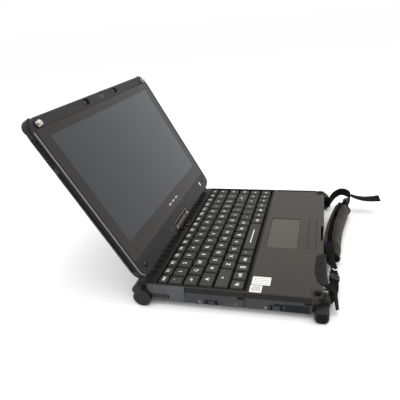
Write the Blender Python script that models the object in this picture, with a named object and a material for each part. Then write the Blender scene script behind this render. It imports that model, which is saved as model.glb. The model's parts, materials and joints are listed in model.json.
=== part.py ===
"""Rugged 11.6 inch convertible laptop: swivel-and-tilt lid, slide-out bays, padded hand strap.

Frame: origin at the middle of the case's flat underside, +X to the user's right, +Y to the
rear where the hinge is, +Z up.  Every length below is in millimetres and every angle in
degrees; make_part scales to metres.  The lid stands open at LID_OPENING.
"""
import math

import bmesh
import bpy
from mathutils import Matrix, Vector

MM = 0.001
GAP = 0.3                     # clearance between pieces that touch or sit in each other

# Case
CASE_X = 141.0                # half width of the tub, inside the side plates
PLATE_X = 144.7               # half width over the side plates
FRONT_Y, REAR_Y = -108.0, 109.0
BOSS_X, BOSS_Y = 38.0, 115.0  # boss behind the hinge: half width and rear face
DECK_Z = 21.8
DECK_UNDER_Z = 19.5
FLOOR_Z = 2.2                 # inner face of the tub's floor
FOOT_Z = -5.5                 # lowest point of the corner bumpers
FOOT_RECESS = 0.6             # depth of the case's corner recesses that take the bumpers' feet
FOOT_MARGIN = 0.6             # how far a recess reaches past its foot
BUMPER_IN_X, BUMPER_X = 126.0, 149.7
FRONT_BUMPER_X = 151.5
FRONT_FOOT_Y = (-115.3, -99.3)
FRONT_FOOT_TOP, FRONT_FOOT_CORNER = 10.5, 5.0
KNUCKLE_Y, KNUCKLE_Z, KNUCKLE_R, KNUCKLE_X = -108.7, 11.8, 7.8, 138.0
REAR_BUMPER_IN_X = 127.0
REAR_LOBES = ((101.8, 5.6, 11.1), (106.4, 17.0, 6.0))   # y, z, radius
FINGER_X, FINGER_Y, FINGER_Z = 20.0, -104.2, 14.5        # notch for a fingertip under the lid
SOCKET_RING_R = 6.6
CASE_WALL, CASE_CORNER = 1.6, 10.0
SIDE_FRONT_Y, SIDE_REAR_Y = -97.0, 95.5   # where the side plates stop at the bumpers
LEFT_SEAMS = (-22.3, 48.5)    # battery door | drive door | vent panel
RIGHT_SEAMS = (-27.7, 19.7)   # battery door | card door | port cover
BATTERY_LATCH_Y = (-62.0, -53.6)
DRIVE_LATCH_Y = (12.8, 20.8)
LATCH_SLIDE = 4.4             # free length of a latch's recess at each end of the latch
BATTERY_TOP_Z = 12.7
BAY_INNER_X, BAY_OUTER_X = 62.0, 140.7

# Keyboard, one list of key widths for each row from the rear
KEYS_LEFT, KEYS_RIGHT = -137.3, 137.7
KEYS_REAR_Y, FUNCTION_DEPTH, KEY_PITCH = 85.8, 13.2, 18.64
KEY_GAP = 2.7
WELL_Y0, WELL_Y1 = -22.8, 86.0
KEY_TOP_Z, KEY_TRAVEL = 21.9, 2.0
TRAY_Z0, TRAY_Z1 = 13.3, 14.4               # underside and upper face of the tray's floor
WEB_Z0 = TRAY_Z1 + KEY_TRAVEL + 0.4         # strip that joins a row's caps, clear when pressed
WEB_Z1 = WEB_Z0 + 0.8
KEY_ROWS = (
    [17.2] * 16,
    [16.0] + [18.4] * 12 + [22.8, 15.7],
    [21.2] + [18.1] * 12 + [22.6, 15.0],
    [28.3] + [18.1] * 11 + [34.1, 15.0],
    [38.7] + [18.4] * 10 + [21.7, 16.2, 16.3],
    [18.3, 17.5, 16.3, 18.0, 15.2, 73.0, 18.5, 16.9, 16.1, 19.3, 16.6, 15.3, 16.3],
)
SPACE_INDEX = 5               # place of the space bar in the last row

# Touchpad and its two buttons
PAD_X0, PAD_X1, PAD_Y0, PAD_Y1 = -45.4, 37.7, -75.0, -33.4
BUTTON_Y0, BUTTON_Y1 = -98.2, -87.4
BUTTON_SPANS = {"left": (-42.9, -5.4), "right": (2.2, 38.7)}
BUTTON_TRAVEL = 0.8

# Hinge
HINGE_Y, HINGE_Z = 100.0, 29.6
LID_OPENING = 117.4           # from closed
TURRET_R, BARREL_R, BARREL_HALF = 12.2, 6.0, 22.5
PIN_R, PIN_HALF = 2.0, 33.0
NECK_X, NECK_Y = 11.0, 5.0    # half sizes of the turret's neck, which stay inside its disc

# Lid, in its own frame: x, distance from the hinge axis, height towards the viewer
LID_X = 146.9
LID_LOW, LID_HIGH = -1.8, 210.6
LID_BACK, LID_SPLIT, LID_FRONT = -6.3, 3.2, 6.2
LID_CORNER = 14.0
LID_WALL, LID_FLOOR = 4.0, 2.0   # rim and back thickness of the hollow back shell
POCKET_LOW = 15.0             # where the main hollow of the back shell begins
GLASS_X, GLASS_LOW, GLASS_HIGH = 142.6, 21.0, 198.0
NOTCH_X, NOTCH_HIGH = 24.5, 8.5
POST_X, POST_W = 134.3, 202.2
LENS_X = {"left": -38.6, "right": 37.8}
LENS_W = 204.6
SOCKET_Y = HINGE_Y - POST_W

# Hand strap
WEB_THICK = 1.6
WEB_LOW, WEB_HIGH = 2.0, 19.0
LOOP_X, LOOP_BAR_Y, LOOP_BAR, LOOP_HALF = 123.0, -115.6, 1.5, 1.2
LOOP_Z = (0.4, 21.0)
PAD_PATH = ((-50, -116.2, 0), (-30, -115.6, 0), (-8, -115.8, 0), (9, -117.4, 0),
            (30, -119.8, 0), (55, -124.4, 0), (80, -129.8, 0), (95, -134.0, 0),
            (106, -137.5, 0))
PAD_SLIT, PAD_INNER, PAD_OUTER = 3.0, 7.0, 15.3   # from the path: slit, inner and outer faces
PAD_LOW, PAD_FLOOR, PAD_LIP, PAD_TOP = 0.6, 4.4, 22.9, 25.0
BUCKLE_X, BUCKLE_HALF, BUCKLE_LEAN = -88.0, 7.0, 30.0
FLAP = ((-53.0, -107.2), (-59.0, -98.6), (-96.0, -97.4), (-114.0, -100.4), (-121.0, -106.0),
        (-121.0, -109.6), (-55.0, -109.6))
FLAP_THICK = 0.9


# ---------------------------------------------------------------- helpers
def clear_scene():
    for item in list(bpy.data.objects):
        bpy.data.objects.remove(item, do_unlink=True)


def material(name, colour, roughness, metallic=0.0):
    found = bpy.data.materials.get(name)
    if found:
        return found
    made = bpy.data.materials.new(name)
    made.use_nodes = True
    shader = made.node_tree.nodes["Principled BSDF"]
    shader.inputs["Base Color"].default_value = (*colour, 1.0)
    shader.inputs["Roughness"].default_value = roughness
    shader.inputs["Metallic"].default_value = metallic
    return made


def black_plastic():
    return material("black_plastic", (0.022, 0.022, 0.023), 0.5)


def deck_grey():
    return material("deck_grey", (0.075, 0.068, 0.062), 0.45)


def rubber():
    return material("rubber", (0.018, 0.017, 0.017), 0.75)


def steel():
    return material("steel", (0.45, 0.44, 0.42), 0.3, 1.0)


def webbing():
    return material("webbing", (0.012, 0.012, 0.013), 0.85)


def frame_empty(name, location, rotation=(0.0, 0.0, 0.0)):
    """A joint's frame; location in millimetres."""
    empty = bpy.data.objects.new(name, None)
    empty.location = Vector(location) * MM
    empty.rotation_euler = rotation
    bpy.context.collection.objects.link(empty)
    return empty


def make_part(name, bm, finish, parent=None, smooth=False):
    """Close the mesh's normals, scale it to metres and link it as one named object."""
    bmesh.ops.recalc_face_normals(bm, faces=bm.faces)
    bmesh.ops.scale(bm, vec=(MM, MM, MM), verts=bm.verts)
    mesh = bpy.data.meshes.new(name)
    bm.to_mesh(mesh)
    bm.free()
    if smooth:
        mesh.shade_smooth()
        mesh.set_sharp_from_angle(angle=math.radians(35))
    mesh.materials.append(finish)
    made = bpy.data.objects.new(name, mesh)
    bpy.context.collection.objects.link(made)
    if parent:
        made.parent = parent
    return made


def helper_solid(name, bm, parent=None):
    made = make_part(name, bm, black_plastic(), parent)
    made.hide_render = True
    made.display_type = "WIRE"
    return made


def apply_boolean(target, other, operation):
    step = target.modifiers.new(other.name, "BOOLEAN")
    step.operation = operation
    step.solver = "EXACT"
    step.object = other


def cut(target, bm, parent=None):
    other = helper_solid(f"{target.name}_cut{len(target.modifiers)}", bm, parent)
    apply_boolean(target, other, "DIFFERENCE")


def add(target, bm, parent=None):
    other = helper_solid(f"{target.name}_add{len(target.modifiers)}", bm, parent)
    apply_boolean(target, other, "UNION")


def boxes(*spans):
    """Closed boxes from (x0, x1, y0, y1, z0, z1) spans."""
    bm = bmesh.new()
    for x0, x1, y0, y1, z0, z1 in spans:
        size = Matrix.Diagonal((x1 - x0, y1 - y0, z1 - z0, 1.0))
        place = Matrix.Translation(((x0 + x1) / 2, (y0 + y1) / 2, (z0 + z1) / 2))
        bmesh.ops.create_cube(bm, size=1.0, matrix=place @ size)
    return bm


def loft(loops):
    """Skin equal-sized loops of 3-D points and close both ends."""
    bm = bmesh.new()
    rings = [[bm.verts.new(point) for point in loop] for loop in loops]
    count = len(rings[0])
    for low, high in zip(rings, rings[1:]):
        for i in range(count):
            j = (i + 1) % count
            bm.faces.new((low[i], low[j], high[j], high[i]))
    bm.faces.new(list(reversed(rings[0])))
    bm.faces.new(rings[-1])
    return bm


def prism(outline, axis, start, end):
    """Extrude a 2-D outline along X, Y or Z; the outline keeps the other two axes' order."""
    place = {"X": lambda a, b, s: (s, a, b), "Y": lambda a, b, s: (a, s, b),
             "Z": lambda a, b, s: (a, b, s)}[axis]
    return loft([[place(a, b, station) for a, b in outline] for station in (start, end)])


def circle(cx, cy, radius, sides=24):
    turns = [2 * math.pi * i / sides for i in range(sides)]
    return [(cx + radius * math.cos(t), cy + radius * math.sin(t)) for t in turns]


def rounded(x0, x1, y0, y1, radius, steps=4):
    """Rounded rectangle, counter-clockwise."""
    corners = ((x1, y1, 0), (x0, y1, 90), (x0, y0, 180), (x1, y0, 270))
    points = []
    for x, y, start in corners:
        cx = x - radius if x == x1 else x + radius
        cy = y - radius if y == y1 else y + radius
        for i in range(steps + 1):
            turn = math.radians(start + 90 * i / steps)
            points.append((cx + radius * math.cos(turn), cy + radius * math.sin(turn)))
    return points


def turned(profile, cx, cy, sides=20):
    """Solid turned about a vertical line from (radius, height) pairs."""
    return loft([[(x, y, z) for x, y in circle(cx, cy, r, sides)] for r, z in profile])


def case_outline(inset=0.0, radius=CASE_CORNER):
    """Plan outline of the case with the boss behind the hinge."""
    base = rounded(-CASE_X + inset, CASE_X - inset, FRONT_Y + inset, REAR_Y - inset, radius)
    boss = [(BOSS_X - inset, REAR_Y - inset), (BOSS_X - 6 - inset, BOSS_Y - inset),
            (-BOSS_X + 6 + inset, BOSS_Y - inset), (-BOSS_X + inset, REAR_Y - inset)]
    first_corner = 5
    return base[:first_corner] + boss + base[first_corner:]


def level(outline, z):
    return [(x, y, z) for x, y in outline]


def smooth_path(points, count):
    """Evenly numbered points on a Catmull-Rom curve through the given ones."""
    given = [Vector(p) for p in points]
    ends = [given[0] * 2 - given[1]] + given + [given[-1] * 2 - given[-2]]
    spans = len(given) - 1
    path = []
    for i in range(count):
        place = spans * i / (count - 1)
        k = min(int(place), spans - 1)
        t = place - k
        a, b, c, d = ends[k:k + 4]
        path.append(0.5 * (2 * b + (c - a) * t + (2 * a - 5 * b + 4 * c - d) * t * t
                           + (3 * b - a - 3 * c + d) * t ** 3))
    return path


def ribbon(points, count, width, thickness, across):
    """Flat strap swept along a curve; across(i / n) gives its width direction."""
    path = smooth_path(points, count)
    loops = []
    for i, place in enumerate(path):
        ahead = path[min(i + 1, count - 1)] - path[max(i - 1, 0)]
        wide = Vector(across(i / (count - 1)))
        wide = (wide - ahead.normalized() * wide.dot(ahead.normalized())).normalized()
        thick = ahead.cross(wide).normalized() * thickness / 2
        wide = wide * width / 2
        loops.append([place - wide - thick, place + wide - thick,
                      place + wide + thick, place - wide + thick])
    return loft(loops)


# ---------------------------------------------------------------- case
def build_bottom_case():
    outline = case_outline()
    case = make_part("bottom_case", loft([level(case_outline(2.0), 0.0), level(outline, 2.0),
                                          level(outline, DECK_UNDER_Z - GAP)]), black_plastic())
    inside = case_outline(CASE_WALL, CASE_CORNER - CASE_WALL)
    cut(case, loft([level(inside, FLOOR_Z), level(inside, DECK_Z + 5)]))
    left_bays = [(-150, -130, -93.8, -25.2, FLOOR_Z, 13.1), (-150, -130, -14, 42, FLOOR_Z, 11.2),
                 (-150, -130, 64, 94.5, 3.6, 12.6)]
    right_bays = [(130, 150, -93.8, -30.2, FLOOR_Z, 13.1), (130, 150, -22, 14, 4, 12),
                  (130, 150, 28, 88, 4, 15)]
    corners = [(-150, -126.3, -120, -94.3, 11.7, 30), (126.3, 150, -120, -94.3, 11.7, 30)]
    finger = [(-FINGER_X, FINGER_X, -120, FINGER_Y, FINGER_Z, 30)]
    cut(case, boxes(*left_bays, *right_bays))
    cut(case, boxes(*corners, *finger))
    rear_y = REAR_LOBES[0][0] - REAR_LOBES[0][2]
    for sign in (-1, 1):
        for inner, y0, y1 in ((BUMPER_IN_X, -130, FRONT_FOOT_Y[1] + FOOT_MARGIN),
                              (REAR_BUMPER_IN_X, rear_y - FOOT_MARGIN, 130)):
            x0, x1 = sorted((sign * (inner - FOOT_MARGIN), sign * 160))
            cut(case, boxes((x0, x1, y0, y1, -1, FOOT_RECESS)))


def build_top_cover():
    outline = case_outline(-0.1)
    cover = make_part("top_cover", loft([level(outline, DECK_UNDER_Z),
                                         level(outline, DECK_Z - 0.7),
                                         level(case_outline(0.6), DECK_Z)]), deck_grey())
    keyboard = (KEYS_LEFT - 1.7, KEYS_RIGHT + 1.7, WELL_Y0 - 0.4, WELL_Y1 + 0.4, 10, 30)
    cut(cover, boxes(keyboard))
    cut(cover, prism(rounded(PAD_X0, PAD_X1, PAD_Y0, PAD_Y1, 2.0, 2), "Z", 10, 30))
    buttons = [(x0 - GAP, x1 + GAP, BUTTON_Y0 - GAP, BUTTON_Y1 + GAP, 10, 30)
               for x0, x1 in BUTTON_SPANS.values()]
    corners = [(-150, -126.3, -120, -94.3, 10, 30), (126.3, 150, -120, -94.3, 10, 30)]
    cut(cover, boxes(*buttons, *corners, (-FINGER_X, FINGER_X, -120, FINGER_Y, 10, 30)))
    cut(cover, boxes((-122, 122, 90.5, 106.0, DECK_Z - 1.2, 30)))
    cut(cover, prism(circle(0, HINGE_Y, TURRET_R + 0.4, 32), "Z", 10, 30))


def build_latch_sockets():
    for side, sign in (("left", -1), ("right", 1)):
        x0, x1 = sorted((sign * 126.6, sign * 150.0))
        block = make_part(f"latch_socket_{side}", boxes((x0, x1, -120.0, -94.6, 12.0, DECK_Z)),
                          rubber(), smooth=True)
        apply_boolean(block, helper_solid(f"socket_bounds_{side}",
                                          prism(case_outline(), "Z", 5, 40)), "INTERSECT")
        add(block, turned([(SOCKET_RING_R, DECK_Z - 2), (SOCKET_RING_R, DECK_Z + 0.2),
                           (SOCKET_RING_R - 0.6, DECK_Z + 0.7)], sign * POST_X, SOCKET_Y))
        cut(block, turned([(4.6, 13.2), (4.6, 30)], sign * POST_X, SOCKET_Y, 16))


def plate_profile(sign, inner=CASE_X + GAP):
    """Side plate section in X and Z, with the chamfer that meets the deck."""
    points = [(inner, 0.6), (PLATE_X - 1.2, 0.6), (PLATE_X, 1.8), (PLATE_X, 16.0),
              (inner + 1.0, DECK_Z - 0.2), (inner, DECK_Z - 0.2)]
    return [(sign * x, z) for x, z in points]


def build_vent_panel():
    flat = [(-CASE_X - GAP, 0.6), (-PLATE_X + 0.8, 0.6), (-PLATE_X, 1.4),
            (-PLATE_X, DECK_Z - 0.9), (-PLATE_X + 0.7, DECK_Z - 0.2), (-CASE_X - GAP, DECK_Z - 0.2)]
    panel = make_part("vent_panel", prism(flat, "Y", LEFT_SEAMS[1] + GAP, SIDE_REAR_Y - GAP),
                      deck_grey())
    slots = [(-160, -130, 69.0 + 3.6 * i, 70.9 + 3.6 * i, 4.6, 11.2) for i in range(7)]
    cut(panel, boxes(*slots))


def build_plate(name, sign, y0, y1, slot=None):
    """A door or pack end; slot is the (y0, y1, z0, z1) recess of its latch."""
    plate = make_part(name, prism(plate_profile(sign), "Y", y0 + GAP, y1 - GAP), black_plastic())
    if slot:
        x0, x1 = sorted((sign * (PLATE_X - 1.9), sign * 160))
        cut(plate, boxes((x0, x1, *slot)))
    return plate


def build_latch(name, sign, y0, y1, z0, z1):
    """Slider in a door's recess, with a raised grip."""
    flat_x, grip_x = PLATE_X - 1.6, PLATE_X + 0.3
    outline = [(flat_x, z0), (PLATE_X - 0.5, z0), (grip_x, z0 + 1.5), (grip_x, z1 - 1.5),
               (PLATE_X - 0.5, z1), (flat_x, z1)]
    make_part(name, prism([(sign * x, z) for x, z in outline], "Y", y0, y1), black_plastic())


def latch_recess(span, top):
    """Recess (y0, y1, z0, z1) in which a latch slides along Y."""
    return span[0] - LATCH_SLIDE, span[1] + LATCH_SLIDE, 1.4, top


def build_side_modules():
    battery_recess = latch_recess(BATTERY_LATCH_Y, 8.2)
    build_plate("drive_door", -1, *LEFT_SEAMS, latch_recess(DRIVE_LATCH_Y, 7.6))
    build_latch("drive_latch", -1, *DRIVE_LATCH_Y, 1.7, 7.3)
    for side, sign, seam in (("left", -1, LEFT_SEAMS[0]), ("right", 1, RIGHT_SEAMS[0])):
        build_plate(f"battery_door_{side}", sign, SIDE_FRONT_Y, seam, battery_recess)
        build_latch(f"battery_latch_{side}", sign, *BATTERY_LATCH_Y, 1.7, 7.9)
    build_plate("card_door", 1, *RIGHT_SEAMS)
    build_plate("port_cover", 1, RIGHT_SEAMS[1], SIDE_REAR_Y)


# ---------------------------------------------------------------- inside
def build_packs():
    cell = material("battery_cell", (0.05, 0.06, 0.08), 0.5)
    packs = (("battery_pack_left", -BAY_OUTER_X, -BAY_INNER_X, -93.4, -25.6, BATTERY_TOP_Z),
             ("battery_pack_right", BAY_INNER_X, BAY_OUTER_X, -93.4, -30.6, BATTERY_TOP_Z),
             ("storage_drive", -BAY_OUTER_X, -BAY_INNER_X, -13.5, 41.5, 10.7))
    for name, x0, x1, y0, y1, top in packs:
        make_part(name, prism(rounded(x0, x1, y0, y1, 2.0, 2), "Z", FLOOR_Z + GAP, top), cell)


def build_mainboard():
    board = material("circuit_board", (0.02, 0.12, 0.06), 0.5)
    plate = make_part("mainboard", boxes((-46, 132, -18, 86, 4.0, 5.6)), board)
    add(plate, boxes((-34, -8, 44, 70, 5.0, 7.2), (10, 44, 10, 26, 5.0, 7.0),
                     (60, 82, 50, 66, 5.0, 6.8)))


def build_cooling():
    metal = material("copper", (0.45, 0.2, 0.12), 0.35, 1.0)
    fins, pitch, y0 = 11, 2.5, 66.0
    outline = [(y0, 3.6)]
    for i in range(fins):
        y = y0 + pitch * i
        outline += [(y, 12.2), (y + 1.0, 12.2), (y + 1.0, 4.8), (y + pitch, 4.8)]
    outline = outline[:-1] + [(y0 + pitch * (fins - 1) + 1.0, 3.6)]
    make_part("heat_sink", prism(outline[:-2] + [outline[-1]], "X", -138.2, -130.0), metal)
    pipe = smooth_path([(-134, 96.6, 9.6), (-118, 98.0, 9.6), (-88, 98.0, 9.6), (-62, 92.0, 9.6),
                        (-44, 78.0, 9.9), (-21, 57.0, 9.9)], 22)
    make_part("heat_pipe", tube(pipe, 2.3, 8), metal, smooth=True)


def tube(path, radius, sides):
    loops = []
    up = Vector((0, 0, 1))
    for i, place in enumerate(path):
        ahead = path[min(i + 1, len(path) - 1)] - path[max(i - 1, 0)]
        side = ahead.cross(up).normalized()
        over = side.cross(ahead).normalized()
        loops.append([place + (side * a + over * b) for a, b in circle(0, 0, radius, sides)])
    return loft(loops)


FAN_X, FAN_Y = -105.0, 72.0


def build_fan():
    housing = make_part("fan_housing", prism(rounded(FAN_X - 22, FAN_X + 22, FAN_Y - 22,
                                                     FAN_Y + 22, 6, 3), "Z", 2.6, 12.6),
                        black_plastic())
    cut(housing, turned([(19.5, 4.0), (19.5, 10.9)], FAN_X, FAN_Y, 24))
    cut(housing, turned([(12.0, 8.0), (12.0, 20.0)], FAN_X, FAN_Y, 20))
    cut(housing, boxes((-140, FAN_X - 8, FAN_Y - 14, FAN_Y + 14, 5.0, 10.0)))
    axis = frame_empty("fan_axis", (FAN_X, FAN_Y, 0))
    rotor = make_part("fan_rotor", turned([(6.5, 4.5), (6.5, 10.4)], 0, 0, 16),
                      black_plastic(), axis, smooth=True)
    blades = bmesh.new()
    for i in range(9):
        turn = Matrix.Rotation(2 * math.pi * i / 9, 4, "Z")
        place = turn @ Matrix.Translation((11.0, 0, 7.6)) @ Matrix.Rotation(0.5, 4, "Z")
        bmesh.ops.create_cube(blades, size=1.0,
                              matrix=place @ Matrix.Diagonal((14.0, 1.0, 5.0, 1.0)))
    add(rotor, blades, axis)


def build_speaker():
    outline = rounded(24.0, 54.0, -105.6, -92.0, 3, 2)
    make_part("speaker", prism(outline, "Z", FLOOR_Z + GAP, 11.0), black_plastic())


# ---------------------------------------------------------------- keyboard and pointing
def build_keyboard_tray():
    x0, x1 = KEYS_LEFT - 1.3, KEYS_RIGHT + 1.3
    tray = make_part("keyboard_tray", boxes((x0, x1, WELL_Y0, WELL_Y1, TRAY_Z0, DECK_Z - 0.5)),
                     black_plastic())
    cut(tray, boxes((x0 + 0.9, x1 - 0.9, WELL_Y0 + 0.9, WELL_Y1 - 0.9, TRAY_Z1, 30)))


def key_spans(widths):
    """Left and right side of each key cap in a row whose widths fill the keyboard."""
    scale = (KEYS_RIGHT - KEYS_LEFT) / sum(widths)
    spans, x = [], KEYS_LEFT
    for width in widths:
        spans.append((x + KEY_GAP / 2, x + width * scale - KEY_GAP / 2))
        x += width * scale
    return spans


def comb(spans):
    """Section through key caps standing on the thin strip that joins them."""
    shoulder = 0.7
    outline = [(spans[0][0], WEB_Z0)]
    for x0, x1 in spans:
        outline += [(x0, WEB_Z1), (x0, KEY_TOP_Z - shoulder), (x0 + shoulder, KEY_TOP_Z),
                    (x1 - shoulder, KEY_TOP_Z), (x1, KEY_TOP_Z - shoulder), (x1, WEB_Z1)]
    outline = [outline[0]] + outline[2:-1] + [(spans[-1][1], WEB_Z0)]
    return outline


def build_keys():
    finish = material("key_cap", (0.035, 0.034, 0.034), 0.55)
    rear = KEYS_REAR_Y
    for number, widths in enumerate(KEY_ROWS, start=1):
        depth = FUNCTION_DEPTH if number == 1 else KEY_PITCH
        y0, y1 = rear - depth + KEY_GAP / 2, rear - KEY_GAP / 2
        spans = key_spans(widths)
        if number < len(KEY_ROWS):
            make_part(f"key_row_{number}", prism(comb(spans), "Y", y0, y1), finish)
        else:
            make_part("key_row_6_left", prism(comb(spans[:SPACE_INDEX]), "Y", y0, y1), finish)
            make_part("space_bar", prism(comb([spans[SPACE_INDEX]]), "Y", y0, y1), finish)
            make_part("key_row_6_right", prism(comb(spans[SPACE_INDEX + 1:]), "Y", y0, y1),
                      finish)
        rear -= depth


def build_pointing():
    outline = rounded(PAD_X0 + GAP, PAD_X1 - GAP, PAD_Y0 + GAP, PAD_Y1 - GAP, 1.8, 2)
    make_part("touchpad", prism(outline, "Z", DECK_UNDER_Z, DECK_Z - 0.5), deck_grey())
    for side, (x0, x1) in BUTTON_SPANS.items():
        make_part(f"touchpad_button_{side}",
                  loft([level(rounded(x0, x1, BUTTON_Y0, BUTTON_Y1, 1.2, 2), z) for z in
                        (DECK_UNDER_Z - BUTTON_TRAVEL, DECK_Z - 0.3)]
                       + [level(rounded(x0 + 0.5, x1 - 0.5, BUTTON_Y0 + 0.5, BUTTON_Y1 - 0.5,
                                        0.9, 2), DECK_Z + 0.1)]), deck_grey())


# ---------------------------------------------------------------- bumpers
def bumper_relief():
    """What a corner bumper leaves free: the case with its clearance, above the foot recess."""
    outline = case_outline(-GAP, CASE_CORNER + GAP)
    return loft([level(outline, FOOT_RECESS - GAP), level(outline, 40)])


def build_front_bumpers():
    """A foot that runs along X under the corner, and a knuckle in front of the latch socket."""
    foot = rounded(*FRONT_FOOT_Y, FOOT_Z, FRONT_FOOT_TOP, FRONT_FOOT_CORNER)
    knuckle = circle(KNUCKLE_Y, KNUCKLE_Z, KNUCKLE_R, 20)
    ring_r = SOCKET_RING_R + GAP
    for side, sign in (("left", -1), ("right", 1)):
        block = make_part(f"bumper_front_{side}",
                          prism(foot, "X", sign * BUMPER_IN_X, sign * FRONT_BUMPER_X),
                          rubber(), smooth=True)
        add(block, prism(knuckle, "X", sign * BUMPER_IN_X, sign * KNUCKLE_X))
        cut(block, bumper_relief())
        cut(block, turned([(ring_r, DECK_Z - 2 - GAP), (ring_r, 40)], sign * POST_X, SOCKET_Y))


def lobed_outline(lobes, centre, steps):
    """Outline of joined circles, as seen from a point inside all of them."""
    cy, cz = centre
    points = []
    for i in range(steps):
        turn = 2 * math.pi * i / steps
        dy, dz = math.cos(turn), math.sin(turn)
        reach = 0.0
        for y, z, radius in lobes:
            along = (y - cy) * dy + (z - cz) * dz
            apart = (y - cy) ** 2 + (z - cz) ** 2 - along ** 2
            if apart < radius ** 2:
                reach = max(reach, along + math.sqrt(radius ** 2 - apart))
        points.append((cy + dy * reach, cz + dz * reach))
    return points


def build_rear_bumpers():
    """Two-lobed blocks; the right one stops at the port cover, which swings out past it."""
    outline = lobed_outline(REAR_LOBES, (104.0, 12.5), 36)
    for side, sign in (("left", -1), ("right", 1)):
        block = make_part(f"bumper_rear_{side}",
                          prism(outline, "X", sign * REAR_BUMPER_IN_X, sign * BUMPER_X),
                          rubber(), smooth=True)
        cut(block, bumper_relief())
        reach = PLATE_X + 0.5 if side == "left" else BUMPER_X + 10.0
        x0, x1 = sorted((sign * 100.0, sign * reach))
        cut(block, boxes((x0, x1, 60.0, SIDE_REAR_Y + GAP, -20, 40)))


# ---------------------------------------------------------------- hinge
def build_hinge(turn):
    metal = material("hinge_metal", (0.16, 0.145, 0.13), 0.35, 1.0)
    make_part("hinge_bearing", ring_solid(0, HINGE_Y, TURRET_R - 1, 4.5, 13.0, 18.5), steel())
    turret = make_part("hinge_turret", turned([(TURRET_R, DECK_UNDER_Z + 0.1), (TURRET_R, 21.7),
                                               (TURRET_R - 0.6, 22.3)], 0, 0, 32),
                       metal, turn, smooth=True)
    add(turret, turned([(4.1, 12.0), (4.1, 20.0)], 0, 0, 16), turn)
    add(turret, boxes((-NECK_X, NECK_X, -NECK_Y, NECK_Y, 21.0, HINGE_Z)), turn)
    add(turret, prism(circle(0, HINGE_Z, BARREL_R, 24), "X", -BARREL_HALF, BARREL_HALF), turn)
    cut(turret, prism(circle(0, HINGE_Z, PIN_R + GAP, 12), "X", -40, 40), turn)


def ring_solid(cx, cy, outer, inner, z0, z1, sides=24):
    bm = bmesh.new()
    loops = [[bm.verts.new((x, y, z)) for x, y in circle(cx, cy, r, sides)]
             for r, z in ((outer, z0), (outer, z1), (inner, z1), (inner, z0))]
    for a, b in zip(loops, loops[1:] + loops[:1]):
        for i in range(sides):
            j = (i + 1) % sides
            bm.faces.new((a[i], a[j], b[j], b[i]))
    return bm


# ---------------------------------------------------------------- lid
def lid_outline(inset=0.0, radius=LID_CORNER):
    return rounded(-LID_X + inset, LID_X - inset, LID_LOW + inset, LID_HIGH - inset, radius, 5)


def notch():
    """The lid's cut-out around the hinge barrel."""
    return boxes((-NOTCH_X, NOTCH_X, -30, NOTCH_HIGH, -30, 30))


def build_lid_shell(lid):
    shell = make_part("lid_back_shell",
                      loft([level(lid_outline(2.5), LID_BACK), level(lid_outline(), -3.8),
                            level(lid_outline(), LID_SPLIT - GAP)]), black_plastic(), lid)
    floor = LID_BACK + LID_FLOOR
    inner_x, inner_high = LID_X - LID_WALL, LID_HIGH - LID_WALL
    cut(shell, prism(rounded(-inner_x, inner_x, POCKET_LOW, inner_high, 10.0, 4), "Z", floor, 20),
        lid)
    for x0, x1 in ((-LID_X + 12, -40), (40, LID_X - 12)):
        cut(shell, boxes((x0, x1, 3.0, POCKET_LOW + 1.0, floor, 20)), lid)
    cut(shell, notch(), lid)
    cut(shell, prism(circle(0, 0, PIN_R + GAP, 12), "X", -PIN_HALF - GAP, PIN_HALF + GAP), lid)


def build_lid_bezel(lid):
    bezel = make_part("lid_bezel",
                      loft([level(lid_outline(), LID_SPLIT), level(lid_outline(), LID_FRONT - 1.2),
                            level(lid_outline(1.0, 13.0), LID_FRONT)]), black_plastic(), lid)
    cut(bezel, prism(rounded(-GLASS_X, GLASS_X, GLASS_LOW, GLASS_HIGH, 3, 2), "Z", -5, 20), lid)
    cut(bezel, notch(), lid)
    for x in LENS_X.values():
        cut(bezel, prism(rounded(x - 4.2, x + 10.8, LENS_W - 3.7, LENS_W + 3.7, 3.6, 4),
                         "Z", LID_FRONT - 1.9, 20), lid)


def build_screen(lid):
    glass = material("display_glass", (0.02, 0.022, 0.024), 0.08)
    outline = rounded(-GLASS_X + GAP, GLASS_X - GAP, GLASS_LOW + GAP, GLASS_HIGH - GAP, 2.7, 2)
    make_part("display_glass", prism(outline, "Z", LID_FRONT - 1.6, LID_FRONT - 0.2), glass, lid)
    make_part("lcd_panel", boxes((-132, 132, 36, 192, -0.8, LID_FRONT - 1.9)), glass, lid)


def build_lid_fittings(lid):
    for side, sign in (("left", -1), ("right", 1)):
        base = LID_FRONT + GAP
        make_part(f"latch_post_{side}",
                  turned([(3.4, base), (3.4, base + 0.8), (1.8, base + 1.2), (1.8, base + 3.4),
                          (2.7, base + 3.9), (2.7, base + 4.9), (1.9, base + 5.6)],
                         sign * POST_X, POST_W, 14), steel(), lid, smooth=True)
    for side, x in LENS_X.items():
        make_part(f"camera_lens_{side}",
                  turned([(2.9, LID_FRONT - 1.6), (2.9, LID_FRONT - 0.4), (2.2, LID_FRONT - 0.1)],
                         x, LENS_W, 16), material("lens", (0.01, 0.01, 0.02), 0.1), lid,
                  smooth=True)
    make_part("hinge_pin", prism(circle(0, 0, PIN_R, 12), "X", -PIN_HALF, PIN_HALF), steel(), lid,
              smooth=True)


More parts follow.
